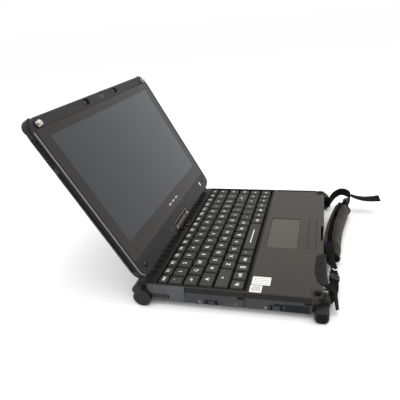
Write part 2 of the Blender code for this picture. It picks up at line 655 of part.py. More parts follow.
def build_lid_bumpers(lid):
    """Rubber caps that follow the lid's two upper corners."""
    inner, outer = LID_CORNER + GAP, LID_CORNER + 2.6
    for side, sign, start in (("right", 1, 0), ("left", -1, 90)):
        cx = sign * (LID_X - LID_CORNER)
        cy = LID_HIGH - LID_CORNER
        turns = [math.radians(start + 4 + 82 * i / 8) for i in range(9)]
        arc = [(cx + outer * math.cos(t), cy + outer * math.sin(t)) for t in turns]
        arc += [(cx + inner * math.cos(t), cy + inner * math.sin(t)) for t in reversed(turns)]
        make_part(f"lid_bumper_{side}", prism(arc, "Z", -4.6, 4.4), rubber(), lid, smooth=True)


# ---------------------------------------------------------------- hand strap
def build_strap_pad():
    """Padded grip: a channel open at the top that the webbing runs through."""
    path = smooth_path(PAD_PATH, 17)
    section = [(PAD_INNER, PAD_LOW), (PAD_INNER, PAD_LIP), (PAD_SLIT, PAD_LIP),
               (PAD_SLIT, PAD_FLOOR), (-PAD_SLIT, PAD_FLOOR), (-PAD_SLIT, PAD_TOP),
               (-PAD_SLIT - 3.5, PAD_TOP), (-PAD_OUTER + 2.0, PAD_TOP - 8.0),
               (-PAD_OUTER, PAD_LOW + 7.0), (-PAD_OUTER + 1.0, PAD_LOW)]
    loops = []
    for i, place in enumerate(path):
        ahead = (path[min(i + 1, len(path) - 1)] - path[max(i - 1, 0)]).normalized()
        side = Vector((-ahead.y, ahead.x, 0))
        loops.append([place + side * a + Vector((0, 0, b)) for a, b in section])
    grip = material("strap_leather", (0.05, 0.048, 0.046), 0.55)
    make_part("strap_pad", loft(loops), grip, smooth=True)


def leaning(t, start=0.51, full=0.6, hold=0.8):
    """Width direction of the left webbing: upright in the pad, leaning out, upright at the loop."""
    share = min(max((t - start) / (full - start), 0.0), 1.0)
    if t > hold:
        share = 1.0 - ((t - hold) / (1.0 - hold)) ** 2
    turn = math.radians(BUCKLE_LEAN) * share
    return 0, math.sin(turn), math.cos(turn)


def build_webbing():
    """Webbing, its tails and the hardware that joins it to the case."""
    width, middle = WEB_HIGH - WEB_LOW, (WEB_HIGH + WEB_LOW) / 2
    lift = PAD_FLOOR + 0.4 + width / 2
    right = [(66, -126.7, lift), (80, -129.8, lift), (95, -134.0, lift), (105, -137.4, lift),
             (113, -143.0, 15.5), (119, -147.3, 18.0), (128, -148.3, 20.5), (137, -143.5, 22.0),
             (141, -134.0, 21.5), (137, -125.0, 17.5), (131, -119.6, 12.5),
             (LOOP_X + 3.0, -117.5, 10.7), (LOOP_X - 2.5, -117.4, 10.7)]
    make_part("strap_webbing_right", ribbon(right, 34, width, WEB_THICK, lambda _: (0, 0, 1)),
              webbing())
    left = [(50, -123.4, lift), (30, -119.8, lift), (9, -117.4, lift), (-8, -115.8, lift),
            (-30, -115.6, lift), (-50, -116.5, lift), (-64, -120.6, 11.5),
            (-80, -120.9, middle), (-96, -120.8, middle), (-110, -119.2, middle),
            (-LOOP_X - 2.5, -117.4, middle)]
    make_part("strap_webbing_left", ribbon(left, 41, width, WEB_THICK, leaning), webbing())
    tail = [(124, -151.4, 22.0), (122.8, -160, 22.3), (122.6, -172, 21.0), (123.4, -184, 20.0),
            (124.5, -194, 19.5)]
    make_part("strap_tail_right",
              ribbon(tail, 14, width, WEB_THICK, lambda t: (1, 0, -0.28 + 0.23 * t)), webbing())
    low_tail = [(-118, -121.4, 13), (-124, -122.2, 10), (-129.5, -123.2, 6), (-133.5, -124, 1.5)]
    make_part("strap_tail_left",
              ribbon(low_tail, 10, 13.0, WEB_THICK, lambda _: (-0.5, 0.35, 0.79)), webbing())
    base = DECK_Z + GAP
    make_part("strap_flap", prism(FLAP, "Z", base, base + FLAP_THICK), webbing())


def build_buckle():
    """Three-bar slide that leans with the webbing; its window passes the webbing."""
    middle_y, middle_z = -120.8, (WEB_HIGH + WEB_LOW) / 2
    lean = Matrix.Rotation(-math.radians(BUCKLE_LEAN), 4, "X")
    place = Matrix.Translation((0, middle_y, middle_z)) @ lean
    x0, x1 = BUCKLE_X - BUCKLE_HALF, BUCKLE_X + BUCKLE_HALF
    bar, window = boxes((x0, x1, -3.6, 3.6, -10.6, 10.6)), boxes((-150, -50, -1.9, 1.9, -9.4, 9.4))
    for bm in (bar, window):
        bmesh.ops.transform(bm, matrix=place, verts=bm.verts)
    cut(make_part("strap_buckle", bar, black_plastic()), window)


def build_strap_loops():
    """Metal staples on the case front that hold the webbing's sewn ends."""
    y_case, (low, high) = FRONT_Y - GAP - 0.2, LOOP_Z
    outline = [(y_case, low), (LOOP_BAR_Y, low), (LOOP_BAR_Y, high), (y_case, high),
               (y_case, high - LOOP_BAR), (LOOP_BAR_Y + LOOP_BAR, high - LOOP_BAR),
               (LOOP_BAR_Y + LOOP_BAR, low + LOOP_BAR), (y_case, low + LOOP_BAR)]
    for side, sign in (("left", -1), ("right", 1)):
        x0, x1 = sorted((sign * (LOOP_X - LOOP_HALF), sign * (LOOP_X + LOOP_HALF)))
        make_part(f"strap_loop_{side}", prism(outline, "X", x0, x1), steel())


# ---------------------------------------------------------------- assembly
def build():
    clear_scene()
    build_bottom_case()
    build_top_cover()
    build_latch_sockets()
    build_vent_panel()
    build_side_modules()
    build_packs()
    build_mainboard()
    build_cooling()
    build_fan()
    build_speaker()
    build_keyboard_tray()
    build_keys()
    build_pointing()
    build_front_bumpers()
    build_rear_bumpers()
    build_hinge(frame_empty("swivel_axis", (0, HINGE_Y, 0)))
    lid = frame_empty("lid_axis", (0, HINGE_Y, HINGE_Z), (math.radians(180 - LID_OPENING), 0, 0))
    build_lid_shell(lid)
    build_lid_bezel(lid)
    build_screen(lid)
    build_lid_fittings(lid)
    build_lid_bumpers(lid)
    build_strap_pad()
    build_webbing()
    build_buckle()
    build_strap_loops()


build()
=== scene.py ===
import json
import math
import random

import bmesh
import bpy
from mathutils import Matrix, Vector


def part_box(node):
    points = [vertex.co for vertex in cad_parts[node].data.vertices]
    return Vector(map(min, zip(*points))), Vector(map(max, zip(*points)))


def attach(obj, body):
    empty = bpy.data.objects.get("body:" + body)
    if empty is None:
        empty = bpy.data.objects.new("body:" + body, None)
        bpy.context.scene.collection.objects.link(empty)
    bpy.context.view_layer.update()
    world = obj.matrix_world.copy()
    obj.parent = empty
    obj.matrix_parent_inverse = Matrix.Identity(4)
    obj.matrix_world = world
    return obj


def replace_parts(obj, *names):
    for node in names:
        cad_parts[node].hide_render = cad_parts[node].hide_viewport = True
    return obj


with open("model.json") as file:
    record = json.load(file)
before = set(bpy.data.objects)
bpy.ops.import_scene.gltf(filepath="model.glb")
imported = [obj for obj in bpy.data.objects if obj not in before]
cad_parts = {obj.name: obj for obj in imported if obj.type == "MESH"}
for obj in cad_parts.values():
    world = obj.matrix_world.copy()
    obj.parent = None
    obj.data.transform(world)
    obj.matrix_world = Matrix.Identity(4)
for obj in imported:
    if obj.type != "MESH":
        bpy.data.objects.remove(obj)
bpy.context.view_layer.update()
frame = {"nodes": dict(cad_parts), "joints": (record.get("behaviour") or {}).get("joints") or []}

MM = 0.001
NODES = frame["nodes"]
MATERIALS = {}                # short name -> Blender material
SIDES = (("left", -1), ("right", 1))


# ---------------------------------------------------------------- frame
def joint(name):
    return next(j for j in frame["joints"] if j["name"] == name)


def box_mm(node):
    """A CAD node's lowest and highest corner in millimetres."""
    low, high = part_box(node)
    return low / MM, high / MM


def placed(at, degrees, axis):
    """Matrix that turns about an axis and then moves to a place."""
    return Matrix.Translation(at) @ Matrix.Rotation(math.radians(degrees), 4, axis)


HINGE = Vector(joint("lid_tilt")["pos_m"]) / MM
LID_TURN = 180 + joint("lid_tilt")["range_deg"][0]      # degrees from lying flat to the rest pose
LID = placed(HINGE, LID_TURN, "X")
DECK_Z = box_mm("top_cover")[1].z
FOOT_Z = box_mm("bumper_front_left")[0].z
LID_FRONT, LID_BACK = 6.2, -6.3         # t of the bezel's front face and of the lid's back
LID_TOP = 210.6                         # w of the lid's upper edge
LID_CORNER_X = 132.9                    # centres of the lid's four round corners
LID_CORNER_W = (12.2, 196.6)
POST_X, SOCKET_Y, POST_W = 134.3, -102.2, 202.2         # lid posts and the sockets they enter
SIDE_X, REAR_Y = 144.7, 109.0           # outer faces of the case
LEFT_SIDE = Matrix(((0, 0, -1, -SIDE_X), (-1, 0, 0, 0), (0, 1, 0, 0), (0, 0, 0, 1)))
RIGHT_SIDE = Matrix(((0, 0, 1, SIDE_X), (1, 0, 0, 0), (0, 1, 0, 0), (0, 0, 0, 1)))
REAR = Matrix(((-1, 0, 0, 0), (0, 0, 1, REAR_Y), (0, 1, 0, 0), (0, 0, 0, 1)))


# ---------------------------------------------------------------- objects and meshes
def add_object(name, data):
    made = bpy.data.objects.new(name, data)
    bpy.context.collection.objects.link(made)
    return made


def mesh_of(bm, name):
    """The bmesh as a new mesh; the bmesh is freed."""
    mesh = bpy.data.meshes.new(name)
    bm.to_mesh(mesh)
    bm.free()
    return mesh


def evaluated_mesh(obj):
    """A new mesh of the object as its modifiers leave it."""
    graph = bpy.context.evaluated_depsgraph_get()
    return bpy.data.meshes.new_from_object(obj.evaluated_get(graph))


def assign(thing, values):
    """Sets attributes by name and returns the thing."""
    for key, value in values.items():
        setattr(thing, key, value)
    return thing


def modify(obj, name, kind, **values):
    return assign(obj.modifiers.new(name, kind), values)


def put(node, **values):
    """Constants on a shader node's own sockets, named with _ for a space."""
    for key, value in values.items():
        node.inputs[key.replace("_", " ")].default_value = value
    return node


def shade(mesh, angle):
    """Smooth shading, with edges sharper than angle degrees kept sharp."""
    mesh.shade_smooth()
    mesh.set_sharp_from_angle(angle=math.radians(angle))


# ---------------------------------------------------------------- camera, light and floor
def add_camera():
    """The photograph's viewpoint: above the left side, looking along +X and down."""
    right = Vector((0.22474, -0.97163, -0.07364))
    down = Vector((-0.47106, -0.04218, -0.88109))
    ahead = Vector((0.85299, 0.23270, -0.46718))
    data = bpy.data.cameras.new("camera")
    data.lens, data.sensor_width = 35.3, 36.0
    data.shift_x, data.shift_y = -0.0552, 0.0514
    data.clip_start, data.clip_end = 0.01, 20.0
    camera = add_object("camera", data)
    turn = Matrix((right, -down, -ahead)).transposed().to_4x4()
    camera.matrix_world = Matrix.Translation((-0.4845, -0.0968, 0.2998)) @ turn
    bpy.context.scene.camera = camera


def area_light(name, place, target, size, power):
    data = bpy.data.lights.new(name, "AREA")
    data.shape, data.size, data.energy = "SQUARE", size, power
    light = add_object(name, data)
    light.location = place
    light.rotation_euler = (Vector(target) - Vector(place)).to_track_quat("-Z", "Y").to_euler()


def add_lights():
    world = bpy.data.worlds.new("studio")
    world.use_nodes = True
    put(world.node_tree.nodes["Background"], Color=(1, 1, 1, 1), Strength=1.0)
    bpy.context.scene.world = world
    bpy.context.scene.view_settings.view_transform = "Standard"
    area_light("overhead", (-0.1, -0.25, 1.1), (0, 0, 0), 0.9, 5)
    area_light("near_side", (-1.0, -0.5, 0.6), (0, 0, 0.02), 0.6, 1.3)
    area_light("rear", (0.5, 0.9, 0.9), (0, 0, 0.05), 0.6, 2.5)


def add_floor():
    bm = bmesh.new()
    bmesh.ops.create_grid(bm, x_segments=1, y_segments=1, size=60.0)
    floor = add_object("floor", mesh_of(bm, "floor"))
    floor.location.z = (FOOT_Z - 0.1) * MM
    pale = Graph("floor_paper")
    pale.surface(colour=(0.985, 0.985, 0.985), roughness=0.9)
    floor.data.materials.append(pale.material)


# ---------------------------------------------------------------- materials
class Graph:
    """A Principled material built from object-space noise."""

    def __init__(self, name, slot=None):
        self.material = bpy.data.materials.new(name)
        self.material.use_nodes = True
        self.tree = self.material.node_tree
        self.shader = self.tree.nodes["Principled BSDF"]
        self.place = self.node("ShaderNodeTexCoord").outputs["Object"]

    def node(self, kind, **values):
        return assign(self.tree.nodes.new(kind), values)

    def link(self, source, socket):
        self.tree.links.new(source, socket)

    def surface(self, colour, roughness, metallic=0.0, **more):
        put(self.shader, Base_Color=(*colour, 1), Roughness=roughness, Metallic=metallic, **more)

    def noise(self, scale, detail=2.0, stretch=(1, 1, 1), roughness=0.5):
        """Noise with features about 1/scale metres wide."""
        mapping = put(self.node("ShaderNodeMapping"), Scale=stretch)
        self.link(self.place, mapping.inputs["Vector"])
        made = put(self.node("ShaderNodeTexNoise"), Scale=scale, Detail=detail,
                   Roughness=roughness)
        self.link(mapping.outputs["Vector"], made.inputs["Vector"])
        return made.outputs["Fac"]

    def axes(self):
        """Sockets with X, Y and Z in metres in the shared frame."""
        split = self.node("ShaderNodeSeparateXYZ")
        self.link(self.place, split.inputs[0])
        return split.outputs

    def math(self, operation, a, b=None):
        made = self.node("ShaderNodeMath", operation=operation)
        for socket, value in zip(made.inputs, (a, b)):
            if value is None:
                continue
            if isinstance(value, (int, float)):
                socket.default_value = value
            else:
                self.link(value, socket)
        return made.outputs[0]

    def blend(self, fac, first, second):
        """Mix of two colours; each is three numbers or a colour socket."""
        made = self.node("ShaderNodeMix", data_type="RGBA")
        self.link(fac, made.inputs["Factor"])
        for socket, value in ((made.inputs[6], first), (made.inputs[7], second)):
            if isinstance(value, tuple):
                socket.default_value = (*value, 1)
            else:
                self.link(value, socket)
        return made.outputs[2]

    def span(self, value, low, high, to_low=0.0, to_high=1.0):
        """The value stretched from low...high to to_low...to_high, and held at both ends."""
        made = put(self.node("ShaderNodeMapRange"), From_Min=low, From_Max=high, To_Min=to_low,
                   To_Max=to_high)
        self.link(value, made.inputs["Value"])
        return made.outputs["Result"]

    def colour(self, socket):
        self.link(socket, self.shader.inputs["Base Color"])

    def rough(self, value, low, high):
        self.link(self.span(value, 0.3, 0.7, low, high), self.shader.inputs["Roughness"])

    def bump(self, height, strength, distance):
        """distance is the height of the relief in millimetres."""
        made = put(self.node("ShaderNodeBump"), Strength=strength, Distance=distance * MM)
        self.link(height, made.inputs["Height"])
        self.link(made.outputs["Normal"], self.shader.inputs["Normal"])


def toned(colour, factor):
    """A lighter or darker colour."""
    return tuple(min(1.0, c * factor) for c in colour)


def moulded(name, slot, colour, roughness, grain=1700.0, depth=0.05, vary=0.25, shine=0.2):
    """Moulded plastic or rubber: spark-eroded grain, cloudy tone and a few lighter scuffs."""
    g = Graph(name, slot)
    g.surface(colour, roughness, Specular_IOR_Level=shine)
    cloud = g.noise(22.0, 4.0)
    scuff = g.span(g.noise(90.0, 6.0, roughness=0.7), 0.62, 0.8, 0.0, 1.0)
    tone = g.blend(g.span(cloud, 0.3, 0.7), toned(colour, 1 - vary), toned(colour, 1 + vary))
    g.colour(g.blend(g.math("MULTIPLY", scuff, 0.25), tone, toned(colour, 2.2)))
    g.rough(cloud, roughness - 0.06, roughness + 0.08)
    g.bump(g.noise(grain, 3.0), 0.55, depth)
    return g


def brushed(name, slot, colour, roughness, stretch, dark_below=None):
    """Brushed metal: fine lines along the short side of stretch, and nearly black where it lies
    below the height dark_below, in metres."""
    g = Graph(name, slot)
    g.surface(colour, roughness, 1.0)
    lines = g.noise(260.0, 5.0, stretch, 0.7)
    tone = g.blend(g.span(lines, 0.35, 0.65), toned(colour, 0.8), toned(colour, 1.15))
    if dark_below is not None:
        fade = 1.5 * MM
        low = g.span(g.axes()["Z"], dark_below + fade, dark_below)
        tone = g.blend(low, tone, (0.012, 0.011, 0.010))
    g.colour(tone)
    g.rough(lines, roughness - 0.05, roughness + 0.1)
    g.bump(lines, 0.15, 0.02)
    return g


def woven(name, slot, colour):
    """Webbing: crossed ribs, pitch millimetres apart."""
    pitch = 0.7
    g = Graph(name, slot)
    g.surface(colour, 0.85, Sheen_Weight=0.02, Sheen_Roughness=0.5, Specular_IOR_Level=0.05)
    axes = g.axes()
    turns = 2 * math.pi / (pitch * MM)
    along = g.math("SINE", g.math("MULTIPLY", g.math("ADD", axes["X"], axes["Y"]), turns))
    across = g.math("SINE", g.math("MULTIPLY", axes["Z"], turns))
    weave = g.math("MULTIPLY", along, across)
    fuzz = g.noise(1400.0, 4.0)
    g.colour(g.blend(g.span(g.math("ADD", weave, fuzz), -0.5, 1.5), toned(colour, 0.6),
                     toned(colour, 1.9)))
    g.bump(weave, 0.8, 0.16)
    return g


def leather(name, slot, colour):
    """Coated padded wrap: pebbled grain with a worn, browner patch here and there."""
    g = Graph(name, slot)
    g.surface(colour, 0.5, Sheen_Weight=0.02, Sheen_Roughness=0.5, Specular_IOR_Level=0.15)
    cell = put(g.node("ShaderNodeTexVoronoi", feature="DISTANCE_TO_EDGE"), Scale=900.0)
    g.link(g.place, cell.inputs["Vector"])
    pebble = g.span(cell.outputs["Distance"], 0.0, 0.25)
    wear = g.span(g.noise(45.0, 4.0), 0.45, 0.7)
    brown = (colour[0] * 2.3, colour[1] * 1.8, colour[2] * 1.35)
    tone = g.blend(wear, toned(colour, 1.1), brown)
    g.colour(g.blend(pebble, toned(colour, 0.55), tone))
    g.rough(g.noise(60.0, 3.0), 0.42, 0.62)
    g.bump(pebble, 0.6, 0.12)
    return g


def screen_glass(name, slot):
    """Cover glass: black printed border and a lighter, bluish display area behind it, brightening
    from left to right in a painted reflection.
    """
    g = Graph(name, slot)
    border = (0.015, 0.0125, 0.0115)
    g.surface(border, 0.09, Specular_IOR_Level=0.3, Coat_Weight=0.08, Coat_Roughness=0.04)
    axes, turn = g.axes(), math.radians(LID_TURN)
    behind = g.math("SUBTRACT", axes["Y"], HINGE.y * MM)
    above = g.math("SUBTRACT", axes["Z"], HINGE.z * MM)
    up = g.math("ADD", g.math("MULTIPLY", behind, math.cos(turn)),
                g.math("MULTIPLY", above, math.sin(turn)))
    half_x, low, high = 127.5, 43.0, 187.1
    beside = g.math("LESS_THAN", g.math("ABSOLUTE", axes["X"]), half_x * MM)
    off = g.math("ABSOLUTE", g.math("SUBTRACT", up, (low + high) / 2 * MM))
    inside = g.math("MULTIPLY", beside, g.math("LESS_THAN", off, (high - low) / 2 * MM))
    smear = g.noise(14.0, 5.0, roughness=0.6)
    # Painted reflection: the display area's own bluish tone grows lighter from left to right across
    # X.
    across = g.span(axes["X"], -0.13, 0.13)
    panel_tone_and_reflection = g.blend(across, (0.030, 0.033, 0.036), (0.054, 0.060, 0.064))
    g.colour(g.blend(inside, border, panel_tone_and_reflection))
    g.rough(smear, 0.07, 0.14)
    return g


def paint(name, slot, colour, roughness=0.6):
    """Thin print or coating with a faint mottle."""
    g = Graph(name, slot)
    g.surface(colour, roughness)
    g.colour(g.blend(g.span(g.noise(500.0, 3.0), 0.35, 0.65), toned(colour, 0.86), colour))
    g.rough(g.noise(300.0, 2.0), roughness - 0.05, roughness + 0.05)
    return g


def make_materials():
    made = {
        "case": moulded("case_plastic", "case_black", (0.020, 0.020, 0.021), 0.47),
        "lid": moulded("lid_plastic", "case_black", (0.019, 0.019, 0.020), 0.42),
        "door": moulded("door_plastic", "case_black", (0.033, 0.0335, 0.0355), 0.44, shine=0.25),
        "buckle": moulded("buckle_plastic", "case_black", (0.014, 0.014, 0.015), 0.38,
                          shine=0.35),
        "surround": moulded("surround_plastic", "case_black", (0.011, 0.0105, 0.010), 0.5,
                            vary=0.12),
        "chamfer": moulded("chamfer_plastic", "case_black", (0.013, 0.012, 0.0115), 0.4),
        "gloss": moulded("gloss_plastic", "case_black", (0.008, 0.011, 0.015), 0.14,
                         grain=400.0, depth=0.01, vary=0.4, shine=0.12),
        "vent": moulded("vent_plastic", "vent_grey", (0.060, 0.064, 0.066), 0.48),
        "deck": moulded("deck_plastic", "deck_grey", (0.042, 0.037, 0.032), 0.40,
                        grain=2200.0, depth=0.03, vary=0.12),
        "pad": moulded("touch_film", "deck_grey", (0.076, 0.067, 0.057), 0.33,
                       grain=2600.0, depth=0.015, vary=0.1),
        "well": moulded("well_plastic", "case_black", (0.003, 0.003, 0.003), 0.5, shine=0.1),
        "key": moulded("key_plastic", "key_plastic", (0.040, 0.039, 0.038), 0.48,
                       grain=2400.0, depth=0.04, vary=0.15),
        "rubber": moulded("bumper_rubber", "rubber", (0.012, 0.0118, 0.011), 0.5,
                          grain=1300.0, depth=0.07, vary=0.3, shine=0.25),
        "steel": brushed("turned_steel", "steel", (0.62, 0.60, 0.57), 0.22, (1, 1, 6)),
        "hinge": brushed("hinge_metal", "hinge_metal", (0.115, 0.103, 0.090), 0.36, (0.1, 5, 5),
                         dark_below=0.0225),
        "copper": brushed("copper", "copper", (0.42, 0.12, 0.08), 0.35, (1, 0.1, 1)),
        "board": moulded("green_board", "circuit_board", (0.02, 0.10, 0.05), 0.4),
        "cell": moulded("pack_plastic", "battery", (0.05, 0.06, 0.08), 0.5),
        "stud": moulded("stud_rubber", "rubber", (0.006, 0.006, 0.007), 0.12, grain=500.0,
                        depth=0.01, shine=0.6),
        "leather_black": leather("soft_gusset", "strap_leather", (0.0045, 0.0042, 0.0042)),
        "binding": moulded("edge_binding", "webbing", (0.006, 0.006, 0.006), 0.9, grain=1800.0,
                           depth=0.05, shine=0.08),
        "thread": paint("thread", "webbing", (0.09, 0.085, 0.08), 0.8),
        "webbing": woven("woven_webbing", "webbing", (0.005, 0.005, 0.0054)),
        "leather": leather("padded_wrap", "strap_leather", (0.0125, 0.0105, 0.0083)),
        "glass": screen_glass("cover_glass", "display_glass"),
        "lcd": paint("panel_edge", "lcd", (0.05, 0.05, 0.055), 0.4),
        "lens": paint("lens_glass", "lens", (0.008, 0.008, 0.013), 0.08),
        "legend": paint("legend_paint", None, (0.92, 0.92, 0.90), 0.55),
        "mark": paint("grey_mark", None, (0.42, 0.42, 0.42), 0.5),
        "dim": paint("dim_mark", None, (0.12, 0.12, 0.12), 0.5),
        "icon": paint("icon_mark", None, (0.26, 0.26, 0.26), 0.5),
        # trim: light grey that stands for a painted highlight on the lid rim's chamfer
        "trim": paint("painted_highlight_trim", "case_black", (0.27, 0.27, 0.28), 0.3),
        "fin": paint("fin_tips", "copper", (0.060, 0.025, 0.022), 0.4),
        "label": paint("label_paper", None, (0.83, 0.82, 0.79), 0.5),
        "ink": paint("label_ink", None, (0.17, 0.16, 0.16), 0.6),
        "lamp": paint("lamp_lens", "display_glass", (0.85, 0.86, 0.88), 0.25),
    }
    MATERIALS.update((key, graph.material) for key, graph in made.items())


# ---------------------------------------------------------------- mesh helpers
def piece(name, bm, finish, body="base", place=None, smooth=True, bevel=0.0, angle=35.0):
    """Makes a mesh given in millimetres one piece that rides on a body; finish is a material."""
    bmesh.ops.recalc_face_normals(bm, faces=bm.faces)
    if place:
        bmesh.ops.transform(bm, matrix=place, verts=bm.verts)
    bmesh.ops.scale(bm, vec=(MM, MM, MM), verts=bm.verts)
    mesh = mesh_of(bm, name)
    if smooth:
        shade(mesh, angle)
    mesh.materials.append(MATERIALS[finish])
    made = add_object(name, mesh)
    if bevel:
        rounding(made, bevel)
    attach(made, body)
    return made


def rounding(obj, width, segments=2):
    """Round edges, width in millimetres."""
    modify(obj, "edge", "BEVEL", width=width * MM, segments=segments, limit_method="ANGLE",
           angle_limit=math.radians(30), harden_normals=True)


def soften(node, width, finish):
    """Better finish on a CAD node that keeps its shape: welded, flat faces merged, edges round."""
    obj = NODES[node]
    obj.data.materials.clear()
    obj.data.materials.append(MATERIALS[finish])
    if width:
        modify(obj, "weld", "WELD", merge_threshold=0.02 * MM)
        modify(obj, "flat", "DECIMATE", decimate_type="DISSOLVE", angle_limit=math.radians(0.5))
        rounding(obj, width)


def boxes(*spans):
    """Boxes, each from its two X, two Y and two Z values; the X values in either order."""
    bm = bmesh.new()
    for x0, x1, y0, y1, z0, z1 in spans:
        size = Matrix.Diagonal((abs(x1 - x0), y1 - y0, z1 - z0, 1.0))
        middle = Matrix.Translation(((x0 + x1) / 2, (y0 + y1) / 2, (z0 + z1) / 2))
        bmesh.ops.create_cube(bm, size=1.0, matrix=middle @ size)
    return bm


def loft(loops, closed=False):
    """Skin over a row of loops with as many points each, capped unless it closes on itself."""
    bm = bmesh.new()
    rings = [[bm.verts.new(p) for p in loop] for loop in loops]
    pairs = list(zip(rings, rings[1:])) + ([(rings[-1], rings[0])] if closed else [])
    for a, b in pairs:
        for i in range(len(a)):
            j = (i + 1) % len(a)
            bm.faces.new((a[i], a[j], b[j], b[i]))
    if not closed:
        bm.faces.new(list(reversed(rings[0])))
        bm.faces.new(rings[-1])
    return bm


def arc(cx, cy, radius, start, end, steps=10):
    turns = [math.radians(start + (end - start) * i / steps) for i in range(steps + 1)]
    return [(cx + radius * math.cos(t), cy + radius * math.sin(t)) for t in turns]


def rounded(x0, x1, y0, y1, radius, steps=4):
    """Outline of a rectangle with round corners."""
    points = []
    for cx, cy, start in ((x1 - radius, y1 - radius, 0), (x0 + radius, y1 - radius, 90),
                          (x0 + radius, y0 + radius, 180), (x1 - radius, y0 + radius, 270)):
        points += arc(cx, cy, radius, start, start + 90, steps)
    return points


def around(low, high, margin, radius):
    """Outline of a box from above, grown by margin."""
    return rounded(low.x - margin, high.x + margin, low.y - margin, high.y + margin, radius, 3)


def circle(cx, cy, radius, sides=24):
    turns = [2 * math.pi * i / sides for i in range(sides)]
    return [(cx + radius * math.cos(t), cy + radius * math.sin(t)) for t in turns]


def level(outline, z):
    """A flat outline lifted to z."""
    return [(x, y, z) for x, y in outline]


def slab(outline, z0, z1):
    return loft([level(outline, z0), level(outline, z1)])


def hoop(outer, inner, z0, z1):
    """Solid between an outer and an inner outline with as many points."""
    return loft([level(outer, z0), level(outer, z1), level(inner, z1), level(inner, z0)],
                closed=True)


def join(*parts):
    """One bmesh from several."""
    whole = bmesh.new()
    for bm in parts:
        mesh = mesh_of(bm, "part")
        whole.from_mesh(mesh)
        bpy.data.meshes.remove(mesh)
    return whole


def smooth_path(points, count):
    """count points evenly spaced along a Catmull-Rom curve through points."""
    knots = [Vector(p) for p in points]
    knots = [2 * knots[0] - knots[1]] + knots + [2 * knots[-1] - knots[-2]]
    dense = []
    for a, b, c, d in zip(knots, knots[1:], knots[2:], knots[3:]):
        for i in range(24):
            t = i / 24
            dense.append(0.5 * (2 * b + (c - a) * t + (2 * a - 5 * b + 4 * c - d) * t * t
                                + (3 * b - a - 3 * c + d) * t ** 3))
    dense.append(knots[-2])
    reach = [0.0]
    for p, q in zip(dense, dense[1:]):
        reach.append(reach[-1] + (q - p).length)
    spread, i = [], 0
    for n in range(count):
        goal = reach[-1] * n / (count - 1)
        while i < len(dense) - 2 and reach[i + 1] < goal:
            i += 1
        part = (goal - reach[i]) / max(reach[i + 1] - reach[i], 1e-9)
        spread.append(dense[i].lerp(dense[i + 1], min(part, 1.0)))
    return spread


def ring(cx, cy, outer, inner, z0, z1, sides=32):
    """A round washer."""
    return hoop(circle(cx, cy, outer, sides), circle(cx, cy, inner, sides), z0, z1)


def dome(cx, cy, radius, z, height, sides=20, steps=5):
    """A low cap: circles shrinking to a small flat at the top."""
    turns = [math.pi / 2 * i / steps for i in range(steps)] + [math.radians(82)]
    return loft([level(circle(cx, cy, radius * math.cos(t), sides), z + height * math.sin(t))
                 for t in turns])


def stroke(points, width, z0, z1):
    """A flat line of that width along points in a plane."""
    spots = [Vector(p) for p in points]
    loops = []
    for i, spot in enumerate(spots):
        ahead = (spots[min(i + 1, len(spots) - 1)] - spots[max(i - 1, 0)]).normalized()
        aside = Vector((-ahead.y, ahead.x)) * width / 2
        a, b = spot + aside, spot - aside
        loops.append([(*a, z0), (*b, z0), (*b, z1), (*a, z1)])
    return loft(loops)


def subtract(target, *cutters):
    """Cuts bmesh solids given in millimetres out of a piece, for good."""
    for bm in cutters:
        bmesh.ops.recalc_face_normals(bm, faces=bm.faces)
        bmesh.ops.scale(bm, vec=(MM, MM, MM), verts=bm.verts)
        tool = add_object("cutter", mesh_of(bm, "cutter"))
        step = modify(target, "cut", "BOOLEAN", operation="DIFFERENCE", object=tool)
        bpy.context.view_layer.update()
        result = evaluated_mesh(target)
        target.modifiers.remove(step)
        target.data = result
        bpy.data.objects.remove(tool)


def screw(cx, cy, z, radius=2.0):
    """A low screw head: a rim round a sunken floor."""
    recess = radius * 0.55
    return join(ring(cx, cy, radius, recess, z, z + 0.35, 20),
                slab(circle(cx, cy, recess, 20), z, z + 0.15))


# ---------------------------------------------------------------- text
def glyphs(words, places, height):
    """Flat raised lettering of generic marks: one word centred on each (x, y, z)."""
    thick, parts = 0.03, []
    for word, (x, y, z) in zip(words, places):
        curve = bpy.data.curves.new("word", "FONT")
        curve.body, curve.size = word, height / 0.7
        curve.align_x, curve.align_y = "CENTER", "CENTER"
        curve.resolution_u, curve.offset = 3, 0.035 * height
        holder = add_object("word", curve)
        mesh = evaluated_mesh(holder)
        flat = bmesh.new()
        flat.from_mesh(mesh)
        bpy.data.objects.remove(holder)
        bpy.data.curves.remove(curve)
        bpy.data.meshes.remove(mesh)
        bmesh.ops.translate(flat, verts=flat.verts, vec=(x, y, z))
        raised = bmesh.ops.extrude_face_region(flat, geom=list(flat.faces))
        up = [v for v in raised["geom"] if isinstance(v, bmesh.types.BMVert)]
        bmesh.ops.translate(flat, verts=up, vec=(0, 0, thick))
        parts.append(flat)
    return join(*parts)


# ---------------------------------------------------------------- keyboard
KEY_BODIES = {"key_row_1": "function_keys", "key_row_2": "number_keys",
              "key_row_3": "upper_letter_keys", "key_row_4": "home_keys",
              "key_row_5": "lower_letter_keys", "key_row_6_left": "bottom_keys_left",
              "key_row_6_right": "bottom_keys_right", "space_bar": "space_key"}
LEGENDS = {
    "key_row_1": ["esc"] + [f"F{n}" for n in range(1, 13)] + ["[]", "#", "x"],
    "key_row_2": ["`", *"1234567890", "-", "=", "<-", "^"],
    "key_row_3": ["->", *"QWERTYUIOP", "[", "]", "\\", "^^"],
    "key_row_4": ["A", *"ASDFGHJKL", ";", "'", "<-'", "vv"],
    "key_row_5": ["^", *"ZXCVBNM", ",", ".", "/", "^", "^", "v"],
    "key_row_6_left": ["fn", "ctl", "[]", "alt", "*"],
    "key_row_6_right": ["alt", "=", "ctl", "<", "v", ">", "o"],
}
SHOULDER = 0.7                # each cap's top is this much smaller than its foot


